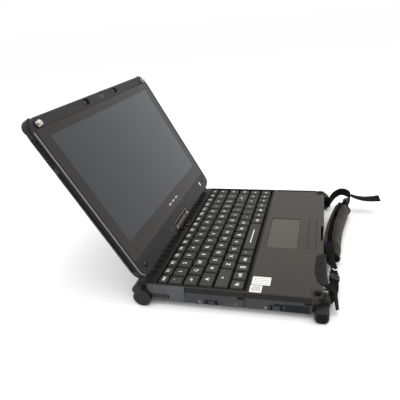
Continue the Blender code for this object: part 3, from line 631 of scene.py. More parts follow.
def cap_spans(node):
    """Left and right side of each cap in a row, read from the row's top corners."""
    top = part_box(node)[1].z
    tops = {round(v.co.x / MM, 2) for v in NODES[node].data.vertices if top - v.co.z < 1e-4}
    edges = sorted(tops)
    return [(a - SHOULDER, b + SHOULDER) for a, b in zip(edges[::2], edges[1::2])]


def key_cap(x0, x1, y0, y1, z0, z1):
    """A cap with drafted sides, a rounded shoulder and a slightly dished top."""
    steps = ((0.0, z0, 0.9), (0.45, z1 - 1.1, 1.0), (0.75, z1 - 0.35, 1.1), (1.25, z1, 1.2))
    loops = [level(rounded(x0 + s, x1 - s, y0 + s, y1 - s, r, 3), z) for s, z, r in steps]
    inner = rounded(x0 + 2.6, x1 - 2.6, y0 + 2.6, y1 - 2.6, 1.2, 3)
    loops.append(level(inner, z1 - 0.16))
    return loft(loops)


def build_keys():
    """Dished caps with legends for each row, in place of the row's CAD node."""
    for node, body in KEY_BODIES.items():
        low, high = box_mm(node)
        spans = cap_spans(node)
        caps = [key_cap(x0, x1, low.y, high.y, low.z + 0.4, high.z) for x0, x1 in spans]
        row = piece(f"{node}_caps", join(*caps), "key", body)
        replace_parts(row, node)
        top, middle = high.z - 0.15, (low.y + high.y) / 2
        if node in LEGENDS:
            places = [((x0 + x1) / 2, middle, top) for x0, x1 in spans]
            size = 4.3 if node == "key_row_1" else 4.9
            piece(f"{node}_legends", glyphs(LEGENDS[node], places, size), "legend", body,
                  smooth=False)
        else:
            x0, x1 = spans[0]
            line = boxes((x0 + 16, x1 - 18, middle - 0.6, middle + 0.6, top, top + 0.05))
            piece("space_line", line, "legend", body, smooth=False)


# ---------------------------------------------------------------- deck
def frame_line(x0, x1, y0, y1, z, width, height, radius, inner_radius=None, steps=3):
    """A thin raised line round a rectangle with round corners."""
    outer = rounded(x0, x1, y0, y1, radius, steps)
    inner = rounded(x0 + width, x1 - width, y0 + width, y1 - width,
                    inner_radius or radius - width, steps)
    return hoop(outer, inner, z, z + height)


def build_deck():
    """Touch film and its groove, and the keyboard's raised rim and dark surround."""
    soften("top_cover", 0.25, "deck")
    soften("touchpad", 0.0, "pad")
    for side, _ in SIDES:
        soften(f"touchpad_button_{side}", 0.0, "deck")
    soften("keyboard_tray", 0.0, "well")
    low, high = box_mm("touchpad")
    film = rounded(low.x + 3.4, high.x - 1.4, low.y + 1.7, high.y - 2.6, 0.8, 3)
    piece("touch_area", slab(film, high.z, high.z + 0.06), "pad")
    edge, under, over = 140.4, DECK_Z - 0.02, DECK_Z + 0.1
    groove = frame_line(low.x - 0.4, high.x + 0.4, low.y - 0.4, high.y + 0.4, under, 0.35, 0.06,
                        2.0)
    piece("touch_groove", groove, "well", smooth=False)
    tray_low, tray_high = box_mm("keyboard_tray")
    rim = hoop(around(tray_low, tray_high, 1.4, 2.2), around(tray_low, tray_high, 0.6, 1.4),
               under, under + 0.3)
    piece("keyboard_rim", rim, "chamfer", bevel=0.1)
    skin = hoop(rounded(-edge, edge, tray_low.y - 3.0, tray_high.y + 1.6, 1.2, 3),
                around(tray_low, tray_high, 1.3, 2.1), under, over)
    behind = ((13.5, tray_high.y + 1.4, 90.7), (122.4, 90.5, 107.5))
    strips = boxes(*[(sign * inside, sign * edge, y0, y1, under, over)
                     for _, sign in SIDES for inside, y0, y1 in behind])
    piece("keyboard_surround", join(skin, strips), "surround", smooth=False)


def build_labels():
    """Two plain paper labels with blocks of print that say nothing."""
    rng = random.Random(7)
    z = DECK_Z
    labels = ((4, -126.5, -111.0, -49.0, -27.5), (6, -140.4, -127.6, -40.6, -27.0))
    for number, (rows, x0, x1, y0, y1) in enumerate(labels, start=1):
        piece(f"label_{number}", slab(rounded(x0, x1, y0, y1, 0.6, 3), z + 0.02, z + 0.12),
              "label", smooth=False)
        spans = []
        for r in range(rows):
            x = x0 + 2.0 + (x1 - x0 - 3.6) * r / (rows - 1 + 0.6)
            y = y0 + 1.6
            while y < y1 - 2.4:
                run = rng.uniform(0.7, 2.2)
                spans.append((x, x + 0.9, y, min(y + run, y1 - 1.4), z + 0.12, z + 0.15))
                y += run + rng.uniform(0.35, 0.8)
        piece(f"label_{number}_print", boxes(*spans), "ink", smooth=False)


# ---------------------------------------------------------------- lid
def lid_piece(name, bm, finish, **how):
    return piece(name, bm, finish, "lid", place=LID, **how)


def build_cameras():
    """Two sunk cameras in the bezel's upper rail, each with a small lamp beside it."""
    front, w = LID_FRONT, 204.6
    floor = front - 1.7
    for side, x in (("left", -38.6), ("right", 37.8)):
        oval = rounded(x - 4.2, x + 10.8, w - 3.7, w + 3.7, 3.6, 5)
        lid_piece(f"camera_floor_{side}", slab(oval, floor - 0.18, floor), "well")
        lid_piece(f"camera_ring_{side}", ring(x, w, 3.5, 2.95, floor, front - 0.15), "chamfer",
                  bevel=0.12)
        lid_piece(f"camera_glass_{side}", dome(x, w, 2.2, front - 0.14, 0.7), "lens")
        lid_piece(f"camera_lamp_{side}", dome(x + 7.6, w, 0.9, floor, 0.4, 12, 3), "lens")


def build_lid_print():
    """Generic marks printed on the bezel and under the glass."""
    front, proud = LID_FRONT, LID_FRONT + 0.03
    behind = (front - 0.19, front - 0.14)
    waves = [stroke(arc(3.4 + s * d, 203.8, r, a, b), 0.32, front, proud)
             for s, a, b in ((1, -50, 50), (-1, 130, 230)) for d, r in ((0.0, 2.0), (0.6, 3.1))]
    lid_piece("antenna_mark", join(*waves), "icon", smooth=False)
    dots = [slab(circle(x, w, 0.75, 16), *behind) for x, w in ((119.8, 186.4), (129.3, 185.2))]
    lid_piece("indicator_marks", join(*dots), "mark", smooth=False)
    holes = [slab(circle(x, w, 0.9, 16), front, proud)
             for x, w in ((-79.7, 12.9), (88.0, 11.9), (101.0, 7.0))]
    lid_piece("microphone_holes", join(*holes), "well", smooth=False)
    swings = [stroke(arc(0, 2, radius, start, end, steps), width, front, proud)
              for radius, start, end, steps, width in
              ((34, 28, 66, 10, 0.3), (40, 4, 12, 4, 0.5), (40, 168, 176, 4, 0.5))]
    lid_piece("swivel_marks", join(*swings), "icon", smooth=False)
    bars = boxes(*[(x, x + 8.0, 30.6, 33.0, *behind) for x in (-9, 3.5, 16)])
    lid_piece("plain_mark", bars, "mark", smooth=False)


def build_lid_front():
    """Studs, lamp, latch posts and hinge notch on the bezel."""
    front = LID_FRONT
    lid_piece("rim_slot", boxes((7, 17, LID_TOP - 0.6, LID_TOP + 0.05, front - 3.0, front - 0.8)),
              "well")
    for side, x, w in (("left", -129.3, 10.9), ("right", 130.9, 12.0)):
        lid_piece(f"lid_stud_{side}", dome(x, w, 3.1, front, 1.0), "stud")
        lid_piece(f"lid_stud_seat_{side}", ring(x, w, 4.3, 3.15, front, front + 0.12), "well")
    lamp = rounded(109.7, 113.1, 8.8, 15.4, 1.2, 4)
    lid_piece("status_lamp", slab(lamp, front, front + 0.12), "lamp")
    for side, sign in SIDES:
        x = sign * POST_X
        lid_piece(f"post_seat_{side}", ring(x, POST_W, 4.6, 3.5, front, front + 0.25), "well")
        lid_piece(f"post_collar_{side}", ring(x, POST_W, 3.3, 1.9, front + 4.25, front + 4.95, 24),
                  "steel", bevel=0.12)
    x, low, high = 24.3, -1.0, 8.3
    notch = stroke([(-x, low), (-x, high), (x, high), (x, low)], 0.35, front - 1.0, front + 0.06)
    lid_piece("notch_trim", notch, "steel", smooth=False)


def corner_cap(sign):
    """Rubber cap round an upper corner of the lid, thickest in the middle of its arc."""
    start, end, steps = 2.0, 88.0, 16
    loops = []
    for i in range(steps + 1):
        turn = math.radians(start + (end - start) * i / steps)
        share = math.sin(math.pi * i / steps) ** 0.5 if 0 < i < steps else 0.0
        inner, outer = 14.05, 14.3 + 1.9 * share
        low, high = -2.0 - 2.6 * share, 2.2 + 2.2 * share
        section = ((outer, low + 0.6), (outer, high - 0.6), (outer - 0.4, high), (inner, high),
                   (inner, low), (outer - 0.4, low))
        loops.append([(sign * (LID_CORNER_X + r * math.cos(turn)),
                       LID_CORNER_W[1] + r * math.sin(turn), t) for r, t in section])
    return loft(loops)


def build_lid_edges():
    """Rails, ribs, seams and a bright edge along both sides of the lid: a raised bead whose light
    grey colour is a painted highlight.
    """
    for side, sign in SIDES:
        x0, x1 = sign * 146.8, sign * 148.6
        rail = boxes((x0, x1, 14, 150, -3.0, -0.6), (x0, x1, 156, 192, -3.0, -0.6))
        lid_piece(f"lid_rail_{side}", rail, "lid", bevel=0.5)
        ribs = boxes(*[(x0, x1, w, w + 1.4, -0.2, 2.6) for w in range(160, 190, 3)])
        lid_piece(f"lid_ribs_{side}", ribs, "rubber", bevel=0.3)
        x0, x1 = sign * 146.6, sign * 147.3
        seams = boxes((x0, x1, 13, 196, 2.6, 3.5), (x0, x1, 13, 150, 0.2, 0.9))
        lid_piece(f"lid_seam_{side}", seams, "well")
        # The trim is a raised bead whose light grey colour is a painted highlight along the rim's
        # chamfer; the groove is a dark seam beside it.
        for name, radius, width, proud, bevel, finish in (
                ("trim", 13.3, 1.15, 0.28, 0.25, "trim"), ("groove", 12.1, 1.1, 0.04, 0.0, "well")):
            bend = arc(LID_CORNER_X, LID_CORNER_W[0], radius, -48, 0, 8)
            bend.append((LID_CORNER_X + radius, 196.0))
            line = stroke([(sign * x, w) for x, w in bend], width, LID_FRONT - 0.3,
                          LID_FRONT + proud)
            lid_piece(f"lid_{name}_{side}", line, finish, bevel=bevel)
        cap = lid_piece(f"lid_cap_{side}", corner_cap(sign), "rubber")
        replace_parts(cap, f"lid_bumper_{side}")


def build_lid_back():
    panel = frame_line(-118, 118, 34, 176, LID_BACK - 0.35, 2.2, 0.6, 12)
    lid_piece("back_frame", panel, "lid", bevel=0.25)
    ridges = boxes(*[(x, x + 5, 48, 162, LID_BACK - 0.3, LID_BACK + 0.1) for x in (-92, 87)])
    lid_piece("back_ridges", ridges, "rubber", bevel=0.2)
    outside = LID @ placed((0, 0, LID_BACK), 180, "Y")
    heads = [screw(x, w, 0) for x in (-132, 132) for w in (24, 182)]
    piece("back_screws", join(*heads), "steel", "lid", place=outside)
    target = join(ring(0, 105, 9, 7.6, 0, 0.25, 40), slab(circle(0, 105, 2.4), 0, 0.25))
    piece("back_mark", target, "dim", "lid", place=outside, smooth=False)


# ---------------------------------------------------------------- hinge
def build_hinge():
    """Rings, bands and screws on the turret, and the ribbed trench on both sides of it, whose floor
    carries a dark sheet of painted shade.
    """
    soften("hinge_turret", 0.35, "hinge")
    y, z = HINGE.y, HINGE.z
    along = placed((0, y, z), 90, "Y")
    for side, sign in SIDES:
        start, end = sorted((sign * 22.5, sign * 23.6))
        piece(f"barrel_ring_{side}", ring(0, 0, 6.3, 2.6, start, end), "steel", "turret",
              place=along, bevel=0.25)
    bands = [ring(0, 0, 6.12, 5.7, x, x + 0.7) for x in (-15, 14.3)]
    piece("barrel_bands", join(*bands), "chamfer", "turret", place=along)
    plate_top = 22.28
    heads = [screw(x, y + dy, plate_top, 1.1) for x in (-4.2, 4.2) for dy in (-8.4, 8.4)]
    piece("turret_screws", join(*heads), "steel", "turret")
    trench = DECK_Z - 1.2
    for side, sign in SIDES:
        # Painted shade: a thin dark sheet on the trench floor, where the trench lies in deep
        # shadow.
        floor_shade = boxes((sign * 13.4, sign * 121.6, 90.8, 105.7, trench, trench + 0.08))
        piece(f"trench_shade_sheet_{side}", floor_shade, "surround")
        ribs = boxes(*[(sign * x - 1.0, sign * x + 1.0, 91.2, 105.2, trench, trench + 0.9)
                       for x in range(30, 120, 12)])
        piece(f"trench_ribs_{side}", ribs, "surround", bevel=0.2)
        piece(f"trench_screw_{side}", screw(sign * 19.5, y, trench + 0.08, 2.4), "steel")


# ---------------------------------------------------------------- sides
def padlock(u, v, size):
    """An open padlock, drawn with a body and a shackle."""
    body = boxes((u - size / 2, u + size / 2, v - size / 2, v + 0.1 * size, 0.0, 0.05))
    shackle = stroke(arc(u, v + 0.25 * size, 0.3 * size, 0, 200, 8), 0.14 * size, 0.0, 0.05)
    return join(body, shackle)


def build_doors():
    """Dark sloping top on every side door, and marks, labels and finger notches on the left."""
    for node, body, sign in (("drive_door", "drive", -1), ("battery_door_left", "battery_left", -1),
                             ("battery_door_right", "battery_right", 1),
                             ("card_door", "card_flap", 1), ("port_cover", "port_flap", 1)):
        low, high = box_mm(node)
        outer, inner = SIDE_X + 0.06, SIDE_X - 2.34
        section = [(sign * outer, 16.1), (sign * inner, 21.62), (sign * (inner - 0.3), 21.5),
                   (sign * (outer - 0.5), 16.1)]
        slope = loft([[(x, y, z) for x, z in section] for y in (low.y + 0.3, high.y - 0.3)])
        piece(f"{node}_chamfer", slope, "chamfer", body)
    shapes = (([(2.1, 3.9), (3.4, 6.4), (4.7, 3.9), (2.1, 3.9)], 0.3),
              ([(10.2, 3.9), (13.8, 3.9), (13.8, 6.3), (10.2, 6.3), (10.2, 3.9)], 0.35))
    marks = {"drive": [padlock(-31.0, 5.0, 2.8)] + [stroke(line, width, 0, 0.05)
                                                    for line, width in shapes],
             "battery_left": [padlock(46.0, 5.0, 2.6)]}
    for body, parts in marks.items():
        piece(f"{body}_marks", join(*parts), "icon", body, place=LEFT_SIDE, smooth=False)
    gloss = [slab(rounded(67.2, 94.2, 1.6, 11.8, 1.0, 3), 0.0, 0.08),
             slab(rounded(55.0, 66.6, 9.2, 11.8, 0.8, 3), 0.0, 0.08)]
    piece("battery_label", join(*gloss), "gloss", "battery_left", place=LEFT_SIDE)
    for body, start, inset in (("drive", 22.0, 0.6), ("battery_left", 96.7, 0.8)):
        u0, u1 = start - 8.5, start - inset
        flap = [(u0, 15.9), (u0, 14.0), (u0 + 1.2, 12.9), (u1, 12.9), (u1, 15.9)]
        piece(f"{body}_notch", slab(flap, 0.0, 0.07), "well", body, place=LEFT_SIDE, smooth=False)


def build_latches():
    """Ribs on each sliding latch, and painted shade round the recess that it slides in: black
    strips in the gaps beside the latch and a black line across the door above it.
    """
    for body, node, owner, place, turn in (
            ("drive_lock", "drive_latch", "drive", LEFT_SIDE, -1),
            ("battery_lock_left", "battery_latch_left", "battery_left", LEFT_SIDE, -1),
            ("battery_lock_right", "battery_latch_right", "battery_right", RIGHT_SIDE, 1)):
        low, high = box_mm(node)
        ribs = boxes(*[(turn * y - 0.35, turn * y + 0.35, low.z + 1.5, high.z - 1.5, 0.1, 0.55)
                       for y in (low.y + 1.9, (low.y + high.y) / 2, high.y - 1.9)])
        piece(f"{node}_ribs", ribs, "door", body, place=place, bevel=0.12)
        u0, u1 = sorted((turn * low.y, turn * high.y))
        top, deep, floor = high.z + 0.25, -1.88, -1.64
        # Painted shade: black strips down the gaps beside the latch, and a black line across the
        # door above it.
        painted_gap_shade = boxes((u0 - 2.0, u0 - 0.05, 1.45, top, deep, floor),
                      (u1 + 0.05, u1 + 2.0, 1.45, top, deep, floor),
                      (u0 - 4.4, u1 + 4.4, top + 0.1, top + 1.0, -0.05, 0.05))
        piece(f"{node}_well", painted_gap_shade, "well", owner, place=place)


def build_sides():
    """Doors and latches, the fins in the left vent, and the right side's edge and flaps."""
    build_doors()
    build_latches()
    first_slot, pitch, slots = -68.85, -3.6, 8
    tips = boxes(*[(u, u + 0.9, 4.4, 11.4, -0.6, 0.05)
                   for u in (first_slot + pitch * i for i in range(slots))])
    piece("fin_tips", tips, "fin", place=LEFT_SIDE, smooth=False)
    edge = boxes(*[(138.4, 141.0, y0, y1, 21.5, 22.75) for y0, y1 in
                   ((-94.0, -28.6), (-26.8, 18.8), (20.6, 88.0))])
    piece("right_edge_beads", edge, "case", bevel=0.6)
    low, high = box_mm("vent_panel")
    ridge = boxes((-high.y + 2, -low.y - 2, 14.6, 15.0, 0.0, 0.18))
    piece("vent_ridge", ridge, "vent", place=LEFT_SIDE)
    for node, body in (("card_door", "card_flap"), ("port_cover", "port_flap")):
        low, high = box_mm(node)
        middle = (low.y + high.y) / 2
        bead = frame_line(low.y + 3, high.y - 3, 3.0, 13.5, 0, 0.8, 0.3, 1.6, 1.0, 4)
        piece(f"{node}_bead", bead, "door", body, place=RIGHT_SIDE, bevel=0.1)
        tab = rounded(middle - 5, middle + 5, 13.9, 15.8, 0.8, 4)
        piece(f"{node}_pull", slab(tab, 0.0, 0.7), "rubber", body, place=RIGHT_SIDE, bevel=0.25)


def build_rear():
    """Rear face: two rubber connector covers, a fine grille and screws."""
    for number, (u0, u1) in enumerate(((-112, -78), (52, 104)), start=1):
        middle = (u0 + u1) / 2
        cover = slab(rounded(u0, u1, 4.5, 15.5, 1.8, 4), 0.0, 0.7)
        piece(f"rear_cover_{number}", cover, "rubber", place=REAR, bevel=0.35)
        tab = slab(rounded(middle - 4, middle + 4, 13.2, 15.0, 0.7, 4), 0.7, 1.3)
        piece(f"rear_tab_{number}", tab, "rubber", place=REAR, bevel=0.2)
    grille = boxes(*[(u, u + 1.4, 5, 15, 0.0, 0.06) for u in range(-70, -44, 3)])
    piece("rear_grille", grille, "well", place=REAR)
    piece("rear_screws", join(*[screw(u, 10, 0, 1.8) for u in (-122, 118)]), "steel", place=REAR)


# ---------------------------------------------------------------- bumpers
def case_relief():
    """The case with its clearance, which the corner bumpers wrap round."""
    x, front, rear, corner, gap = 141.0, -108.0, REAR_Y, 10.0, 0.3
    outline = rounded(-x - gap, x + gap, front - gap, rear + gap, corner + gap, 6)
    return slab(outline, gap, 40.0)


def foot_outline(inset=0.0):
    """Section of a front foot in Y and Z: nearly square above and round below."""
    low, high = FOOT_Z + inset, 10.4 - inset
    y0, y1 = -115.2 + inset, -99.4 - inset
    tight, wide = 2.6, 6.4
    points = []
    for cy, cz, radius, start in ((y1, high, tight, 0), (y0, high, tight, 90),
                                  (y0, low, wide, 180), (y1, low, wide, 270)):
        radius = max(radius - inset, 0.6)
        my = cy - radius if cy == y1 else cy + radius
        mz = cz - radius if cz == high else cz + radius
        points += arc(my, mz, radius, start, start + 90, 6)
    return points


def carve(name, bm, node, *cutters):
    """A rubber piece with cutters taken out of it; it replaces a CAD node if one is given."""
    made = piece(name, bm, "rubber")
    subtract(made, *cutters)
    shade(made.data, 38)
    if node:
        rounding(made, 0.3)
        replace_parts(made, node)


def across(outline, *stations):
    """Solid with an outline in Y and Z through stations along X."""
    return loft([[(x, y, z) for y, z in outline] for x in stations])


def build_front_bumper(side, sign):
    """Rubber foot with a treaded pocket on its end, lined with a black sheet of painted shade, and
    the knuckle that holds the latch socket.
    """
    name, face, post_x = f"bumper_front_{side}", sign * 151.4, sign * POST_X
    foot = loft([[(sign * x, y, z) for y, z in foot_outline(inset)] for x, inset in
                 ((126.2, 0.6), (126.8, 0.0), (150.2, 0.0), (151.0, 0.35), (151.4, 1.1))])
    pocket = across(foot_outline(2.3), face - sign * 1.3, face + sign * 2)
    carve(f"{name}_foot", foot, name, case_relief(), pocket)
    stations = ((126.2, 7.2), (126.8, 7.75), (137.2, 7.75), (137.9, 7.2), (137.9, 4.6),
                (137.2, 4.2))
    knuckle = loft([[(sign * x, y, z) for y, z in circle(-108.7, 11.8, radius, 28)]
                    for x, radius in stations])
    socket_hole = slab(circle(post_x, SOCKET_Y, 6.9, 28), 19.4, 40)
    carve(f"{name}_knuckle", knuckle, None, case_relief(), socket_hole)
    # Painted shade: a thin black sheet on the pocket's floor, where the pocket is in shade.
    pocket_shade = across(foot_outline(2.4), face - sign * 1.45, face - sign * 1.25)
    piece(f"{name}_window", pocket_shade, "well")
    start = 190 if sign < 0 else 240
    groove = stroke(arc(post_x, SOCKET_Y, 8.4, start, start + 110, 12), 0.9, 19.2, 20.3)
    piece(f"{name}_groove", groove, "well")
    tread = boxes(*[(face - sign * 1.4, face - sign * 0.4, y, y + 2.4, z, z + 2.6) for y, z in
                    ((-111.9, -1.4), (-107.9, -2.0), (-104.2, -1.2), (-111.6, 3.0),
                     (-108.0, 3.4), (-104.4, 3.2))])
    piece(f"{name}_tread", tread, "gloss", bevel=0.45)


def build_bumpers():
    for side, sign in SIDES:
        build_front_bumper(side, sign)
        soften(f"bumper_rear_{side}", 0.9, "rubber")
        soften(f"latch_socket_{side}", 0.3, "deck")
        collar = ring(sign * POST_X, SOCKET_Y, 6.5, 4.75, 21.7, 22.62, 36)
        piece(f"socket_collar_{side}", collar, "rubber", bevel=0.25)
        inner_x = 149.5 if sign > 0 else -149.7
        piece(f"bumper_ring_{side}", ring(0, 0, 6.2, 5.5, 0, 0.2, 28), "well",
              place=placed((inner_x, 101.8, 5.6), 90, "Y"))


# ---------------------------------------------------------------- hand strap
# The strap's paths are points in X, Y and Z, chosen against the photograph.
PAD_PATH = ((-39, -115.9, 0), (-28, -115.6, 0), (-8, -115.8, 0), (9, -117.4, 0),
            (30, -119.8, 0), (55, -124.4, 0), (80, -129.8, 0), (95, -134.0, 0),
            (106, -137.5, 0))
PAD_FLOOR = 4.4
LEAN = 70.0                   # degrees that the left webbing and its buckle lean outwards
WEB_WIDTH, WEB_THICK = 17.0, 1.6


def ease(t, *knots):
    """Value at t on a line through (t, value) knots, smoothed between them."""
    for (t0, a), (t1, b) in zip(knots, knots[1:]):
        if t <= t1:
            s = max(0.0, (t - t0) / (t1 - t0))
            return a + (b - a) * s * s * (3 - 2 * s)
    return knots[-1][1]


def sweep(path, section, upward=None):
    """Closed loops along a path; section(t) gives (aside, up) pairs, upward(t) the up vector."""
    loops = []
    for i, place in enumerate(path):
        t = i / (len(path) - 1)
        ahead = (path[min(i + 1, len(path) - 1)] - path[max(i - 1, 0)]).normalized()
        up = Vector(upward(t)) if upward else Vector((0, 0, 1))
        up = (up - ahead * up.dot(ahead)).normalized()
        aside = up.cross(ahead).normalized()
        loops.append([place + aside * a + up * b for a, b in section(t)])
    return loft(loops)


def pad_shape(t):
    """Outer reach and the two rims' heights at t along the pad, lower towards its ends."""
    reach = ease(t, (0, 13.2), (0.15, 15.2), (0.7, 14.6), (1, 12.4))
    lip = ease(t, (0, 17.0), (0.16, 22.4), (0.85, 22.6), (1, 18.0))
    top = ease(t, (0, 15.5), (0.16, 22.5), (0.45, 24.8), (0.85, 24.6), (1, 18.5))
    return reach, lip, top


def pad_section(t):
    """A folded wrap: thin inner lip, slit, and a thick outer side that slopes away."""
    reach, lip, top = pad_shape(t)
    low, floor, slit, inner = 0.8, PAD_FLOOR, 2.9, 6.9
    right = [(inner - 3, low), (inner - 0.8, low + 0.8), (inner, low + 3), (inner, lip / 2),
             (inner, lip - 2.0), (inner - 0.6, lip - 0.6), (inner - 2.0, lip),
             (slit + 0.5, lip - 0.7), (slit, lip - 2.4), (slit, floor + 2), (slit - 1, floor)]
    left = [(-slit + 1, floor), (-slit, floor + 2), (-slit, top - 2.2), (-slit - 0.7, top - 0.6),
            (-slit - 2.0, top), (-slit - 3.8, top - 0.7), (-reach + 4.6, top - 4.4),
            (-reach + 1.6, top - 9.0), (-reach, top * 0.42), (-reach + 0.2, low + 3.4),
            (-reach + 1.6, low + 0.8), (-reach + 4.0, low)]
    return right + left


def grown(section, extra):
    """The section moved outwards by extra, for a cuff that wraps it."""
    size = len(section)
    made = []
    for i, spot in enumerate(section):
        along = Vector(section[(i + 1) % size]) - Vector(section[i - 1])
        out = Vector((along.y, -along.x)).normalized()
        made.append((spot[0] + out.x * extra, spot[1] + out.y * extra))
    return made


def puff(obj, voxel, pressure, cap):
    """Swells a soft piece with Blender's cloth, moves no point further than cap, and keeps it."""
    frames = 20
    remesh = modify(obj, "remesh", "REMESH", mode="VOXEL", voxel_size=voxel * MM)
    obj.data = evaluated_mesh(obj)
    obj.modifiers.remove(remesh)
    rest = [v.co.copy() for v in obj.data.vertices]
    cloth = obj.modifiers.new("cloth", "CLOTH")
    assign(cloth.settings, {"use_pressure": True, "uniform_pressure_force": pressure})
    cloth.settings.effector_weights.gravity = 0
    cloth.point_cache.frame_start, cloth.point_cache.frame_end = 1, frames
    for frame_number in range(1, frames + 1):
        bpy.context.scene.frame_set(frame_number)
    moved = evaluated_mesh(obj)
    obj.modifiers.remove(cloth)
    bpy.context.scene.frame_set(1)
    for vertex, start in zip(moved.vertices, rest):
        step = vertex.co - start
        if step.length > cap * MM:
            vertex.co = start + step.normalized() * cap * MM
    obj.data = moved
    obj.data.shade_smooth()


def subdivide(obj):
    modify(obj, "finer", "SUBSURF", levels=1, render_levels=1)


def stitches(path, name, aside, height):
    """A row of thread stitches along the pad's wall, offset aside from its path."""
    gap = 3.2
    length = sum((b - a).length for a, b in zip(path, path[1:]))
    spots = smooth_path(path, int(length / gap))
    runs = []
    for i in range(2, len(spots) - 3):
        t = i / (len(spots) - 1)
        ahead = (spots[i + 1] - spots[i]).normalized()
        out = Vector((-ahead.y, ahead.x, 0))
        spot = spots[i] + out * aside(t) + Vector((0, 0, height(t)))
        turn = Matrix((ahead, out, Vector((0, 0, 1)))).transposed().to_4x4()
        bm = bmesh.new()
        bmesh.ops.create_uvsphere(bm, u_segments=8, v_segments=6, radius=1.0,
                                  matrix=Matrix.Translation(spot) @ turn
                                  @ Matrix.Diagonal((1.1, 0.3, 0.3, 1)))
        runs.append(bm)
    piece(name, join(*runs), "thread")


def sleeve_section(t):
    """Flattened tube that gathers the pad's near end round the webbing."""
    half = ease(t, (0, 4.4), (0.4, 6.4), (1, 2.2))
    tall = ease(t, (0, 9.6), (0.4, 9.8), (1, 5.2))
    return rounded(-half, half, -tall, tall, min(half, 3.4) * 0.9, 3)


def build_pad():
    """The strap's padded grip, with painted shade in its channel, and its cuffs, sleeve and
    stitches.
    """
    path = smooth_path(PAD_PATH, 48)
    pad = piece("hand_pad", sweep(path, pad_section), "leather")
    puff(pad, 1.3, 3.0, 0.4)
    subdivide(pad)
    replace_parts(pad, "strap_pad")
    size = len(path) - 1

    def part(name, first, last, section, finish):
        """A piece along a stretch of the pad's path, with its section at each place there."""
        spots = path[first:last]
        piece(name, sweep(spots, lambda t: section((first + t * (len(spots) - 1)) / size)), finish,
              angle=60)

    # Painted shade: a near-black sheet over the channel's inner walls and floor, where the slit is
    # in shade.
    def shade_sheet(t):
        _, lip, top = pad_shape(t)
        return [(2.75, lip - 1.6), (2.35, lip - 1.6), (2.35, PAD_FLOOR + 0.5),
                (-2.35, PAD_FLOOR + 0.5), (-2.35, top - 1.6), (-2.75, top - 1.6),
                (-2.75, PAD_FLOOR + 0.1), (2.75, PAD_FLOOR + 0.1)]

    def cuff(t):
        return grown(pad_section(t), 0.45)

    part("pad_shade_sheet", 0, len(path), shade_sheet, "well")
    part("pad_cuff_near", 0, 2, cuff, "binding")
    part("pad_cuff_far", size - 2, size + 1, cuff, "binding")
    sleeve = smooth_path([(-22, -115.7, 12.6), (-34, -115.7, 12.4), (-44, -116.0, 12.0),
                          (-52, -117.3, 11.6), (-60, -119.4, 11.2)], 20)
    piece("pad_sleeve", sweep(sleeve, sleeve_section, lambda t: leaning(0.4 + 0.2 * t)), "binding",
          angle=50)
    stitches(path, "pad_stitches_outer", lambda t: 2.4 - pad_shape(t)[0],
             lambda t: pad_shape(t)[2] - 7.0)
    stitches(path, "pad_stitches_low", lambda t: -pad_shape(t)[0] - 0.3, lambda t: 5.4)
    stitches(path, "pad_stitches_inner", lambda t: 7.15, lambda t: pad_shape(t)[1] - 3.4)


def web_section(width):
    half, thick = width / 2, WEB_THICK / 2
    side = [(thick * 0.5, half), (thick, half - 0.5), (thick, half / 3), (thick, -half / 3),
            (thick, -half + 0.5), (thick * 0.5, -half)]
    return side + [(-a, b) for a, b in reversed(side)]


def strap(name, points, count, widths, upward=None):
    """Webbing along points, as wide as the (t, width) knots say."""
    path = smooth_path(points, count)
    band = sweep(path, lambda t: web_section(ease(t, *widths)), upward)
    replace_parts(piece(name, band, "webbing", angle=60), f"strap_{name}")


def leaning(t):
    """The left webbing's up vector at t: upright, then leaning outwards, then upright again."""
    start, full, hold = 0.51, 0.6, 0.8
    share = min(max((t - start) / (full - start), 0.0), 1.0)
    if t > hold:
        share = 1.0 - ((t - hold) / (1.0 - hold)) ** 2
    turn = math.radians(LEAN) * share
    return 0, math.sin(turn), math.cos(turn)


def build_webbing():
    """The four lengths of webbing: one to each side of the pad, and their loose ends."""
    lift = PAD_FLOOR + 0.4 + WEB_WIDTH / 2
    right = [(66, -126.7, lift), (80, -129.8, lift), (95, -134.0, lift), (105, -137.4, lift),
             (113, -143.0, 15.5), (119, -147.3, 18.0), (128, -148.3, 20.5), (137, -143.5, 22.0),
             (141, -134.0, 21.5), (137, -125.0, 17.5), (131, -119.6, 12.5), (126, -117.5, 10.7),
             (120.5, -117.4, 10.7)]
    left = [(50, -123.4, lift), (30, -119.8, lift), (9, -117.4, lift), (-8, -115.8, lift),
            (-30, -115.6, lift), (-50, -116.5, lift), (-64, -120.6, 11.5), (-80, -120.9, 10.5),
            (-96, -120.8, 10.5), (-110, -119.2, 10.5), (-125.5, -117.4, 10.5)]
    tail = [(126, -149.6, 23.0), (123.6, -158, 20.6), (122.8, -170, 18.6), (123.4, -183, 18.6),
            (124.5, -194, 19.6)]
    low_tail = [(-116.6, -112.6, 21.9), (-119.2, -115.0, 21.4), (-121.4, -118.2, 19.6),
                (-123.6, -120.8, 16.0), (-126.6, -122.0, 11.0), (-130.2, -123.0, 6.0),
                (-133.5, -124.0, 1.5)]
    strap("webbing_right", right, 76, ((0, 17), (0.3, 16), (0.5, 12.5), (0.75, 12), (1, 16.5)))
    strap("webbing_left", left, 72, ((0, 17), (0.42, 14), (0.56, 9), (0.74, 8.5), (1, 16)),
          leaning)
    strap("tail_right", tail, 30, ((0, WEB_WIDTH), (1, WEB_WIDTH)),
          lambda t: (1, 0, -0.2 + 0.34 * t))
    strap("tail_left", low_tail, 36, ((0, 11), (0.35, 8.5), (0.7, 11), (1, 9.5)),
          lambda t: Vector((-0.8, 0.6, 0)).lerp(Vector((-0.5, 0.35, 0.79)), min(1, 1.8 * t)))


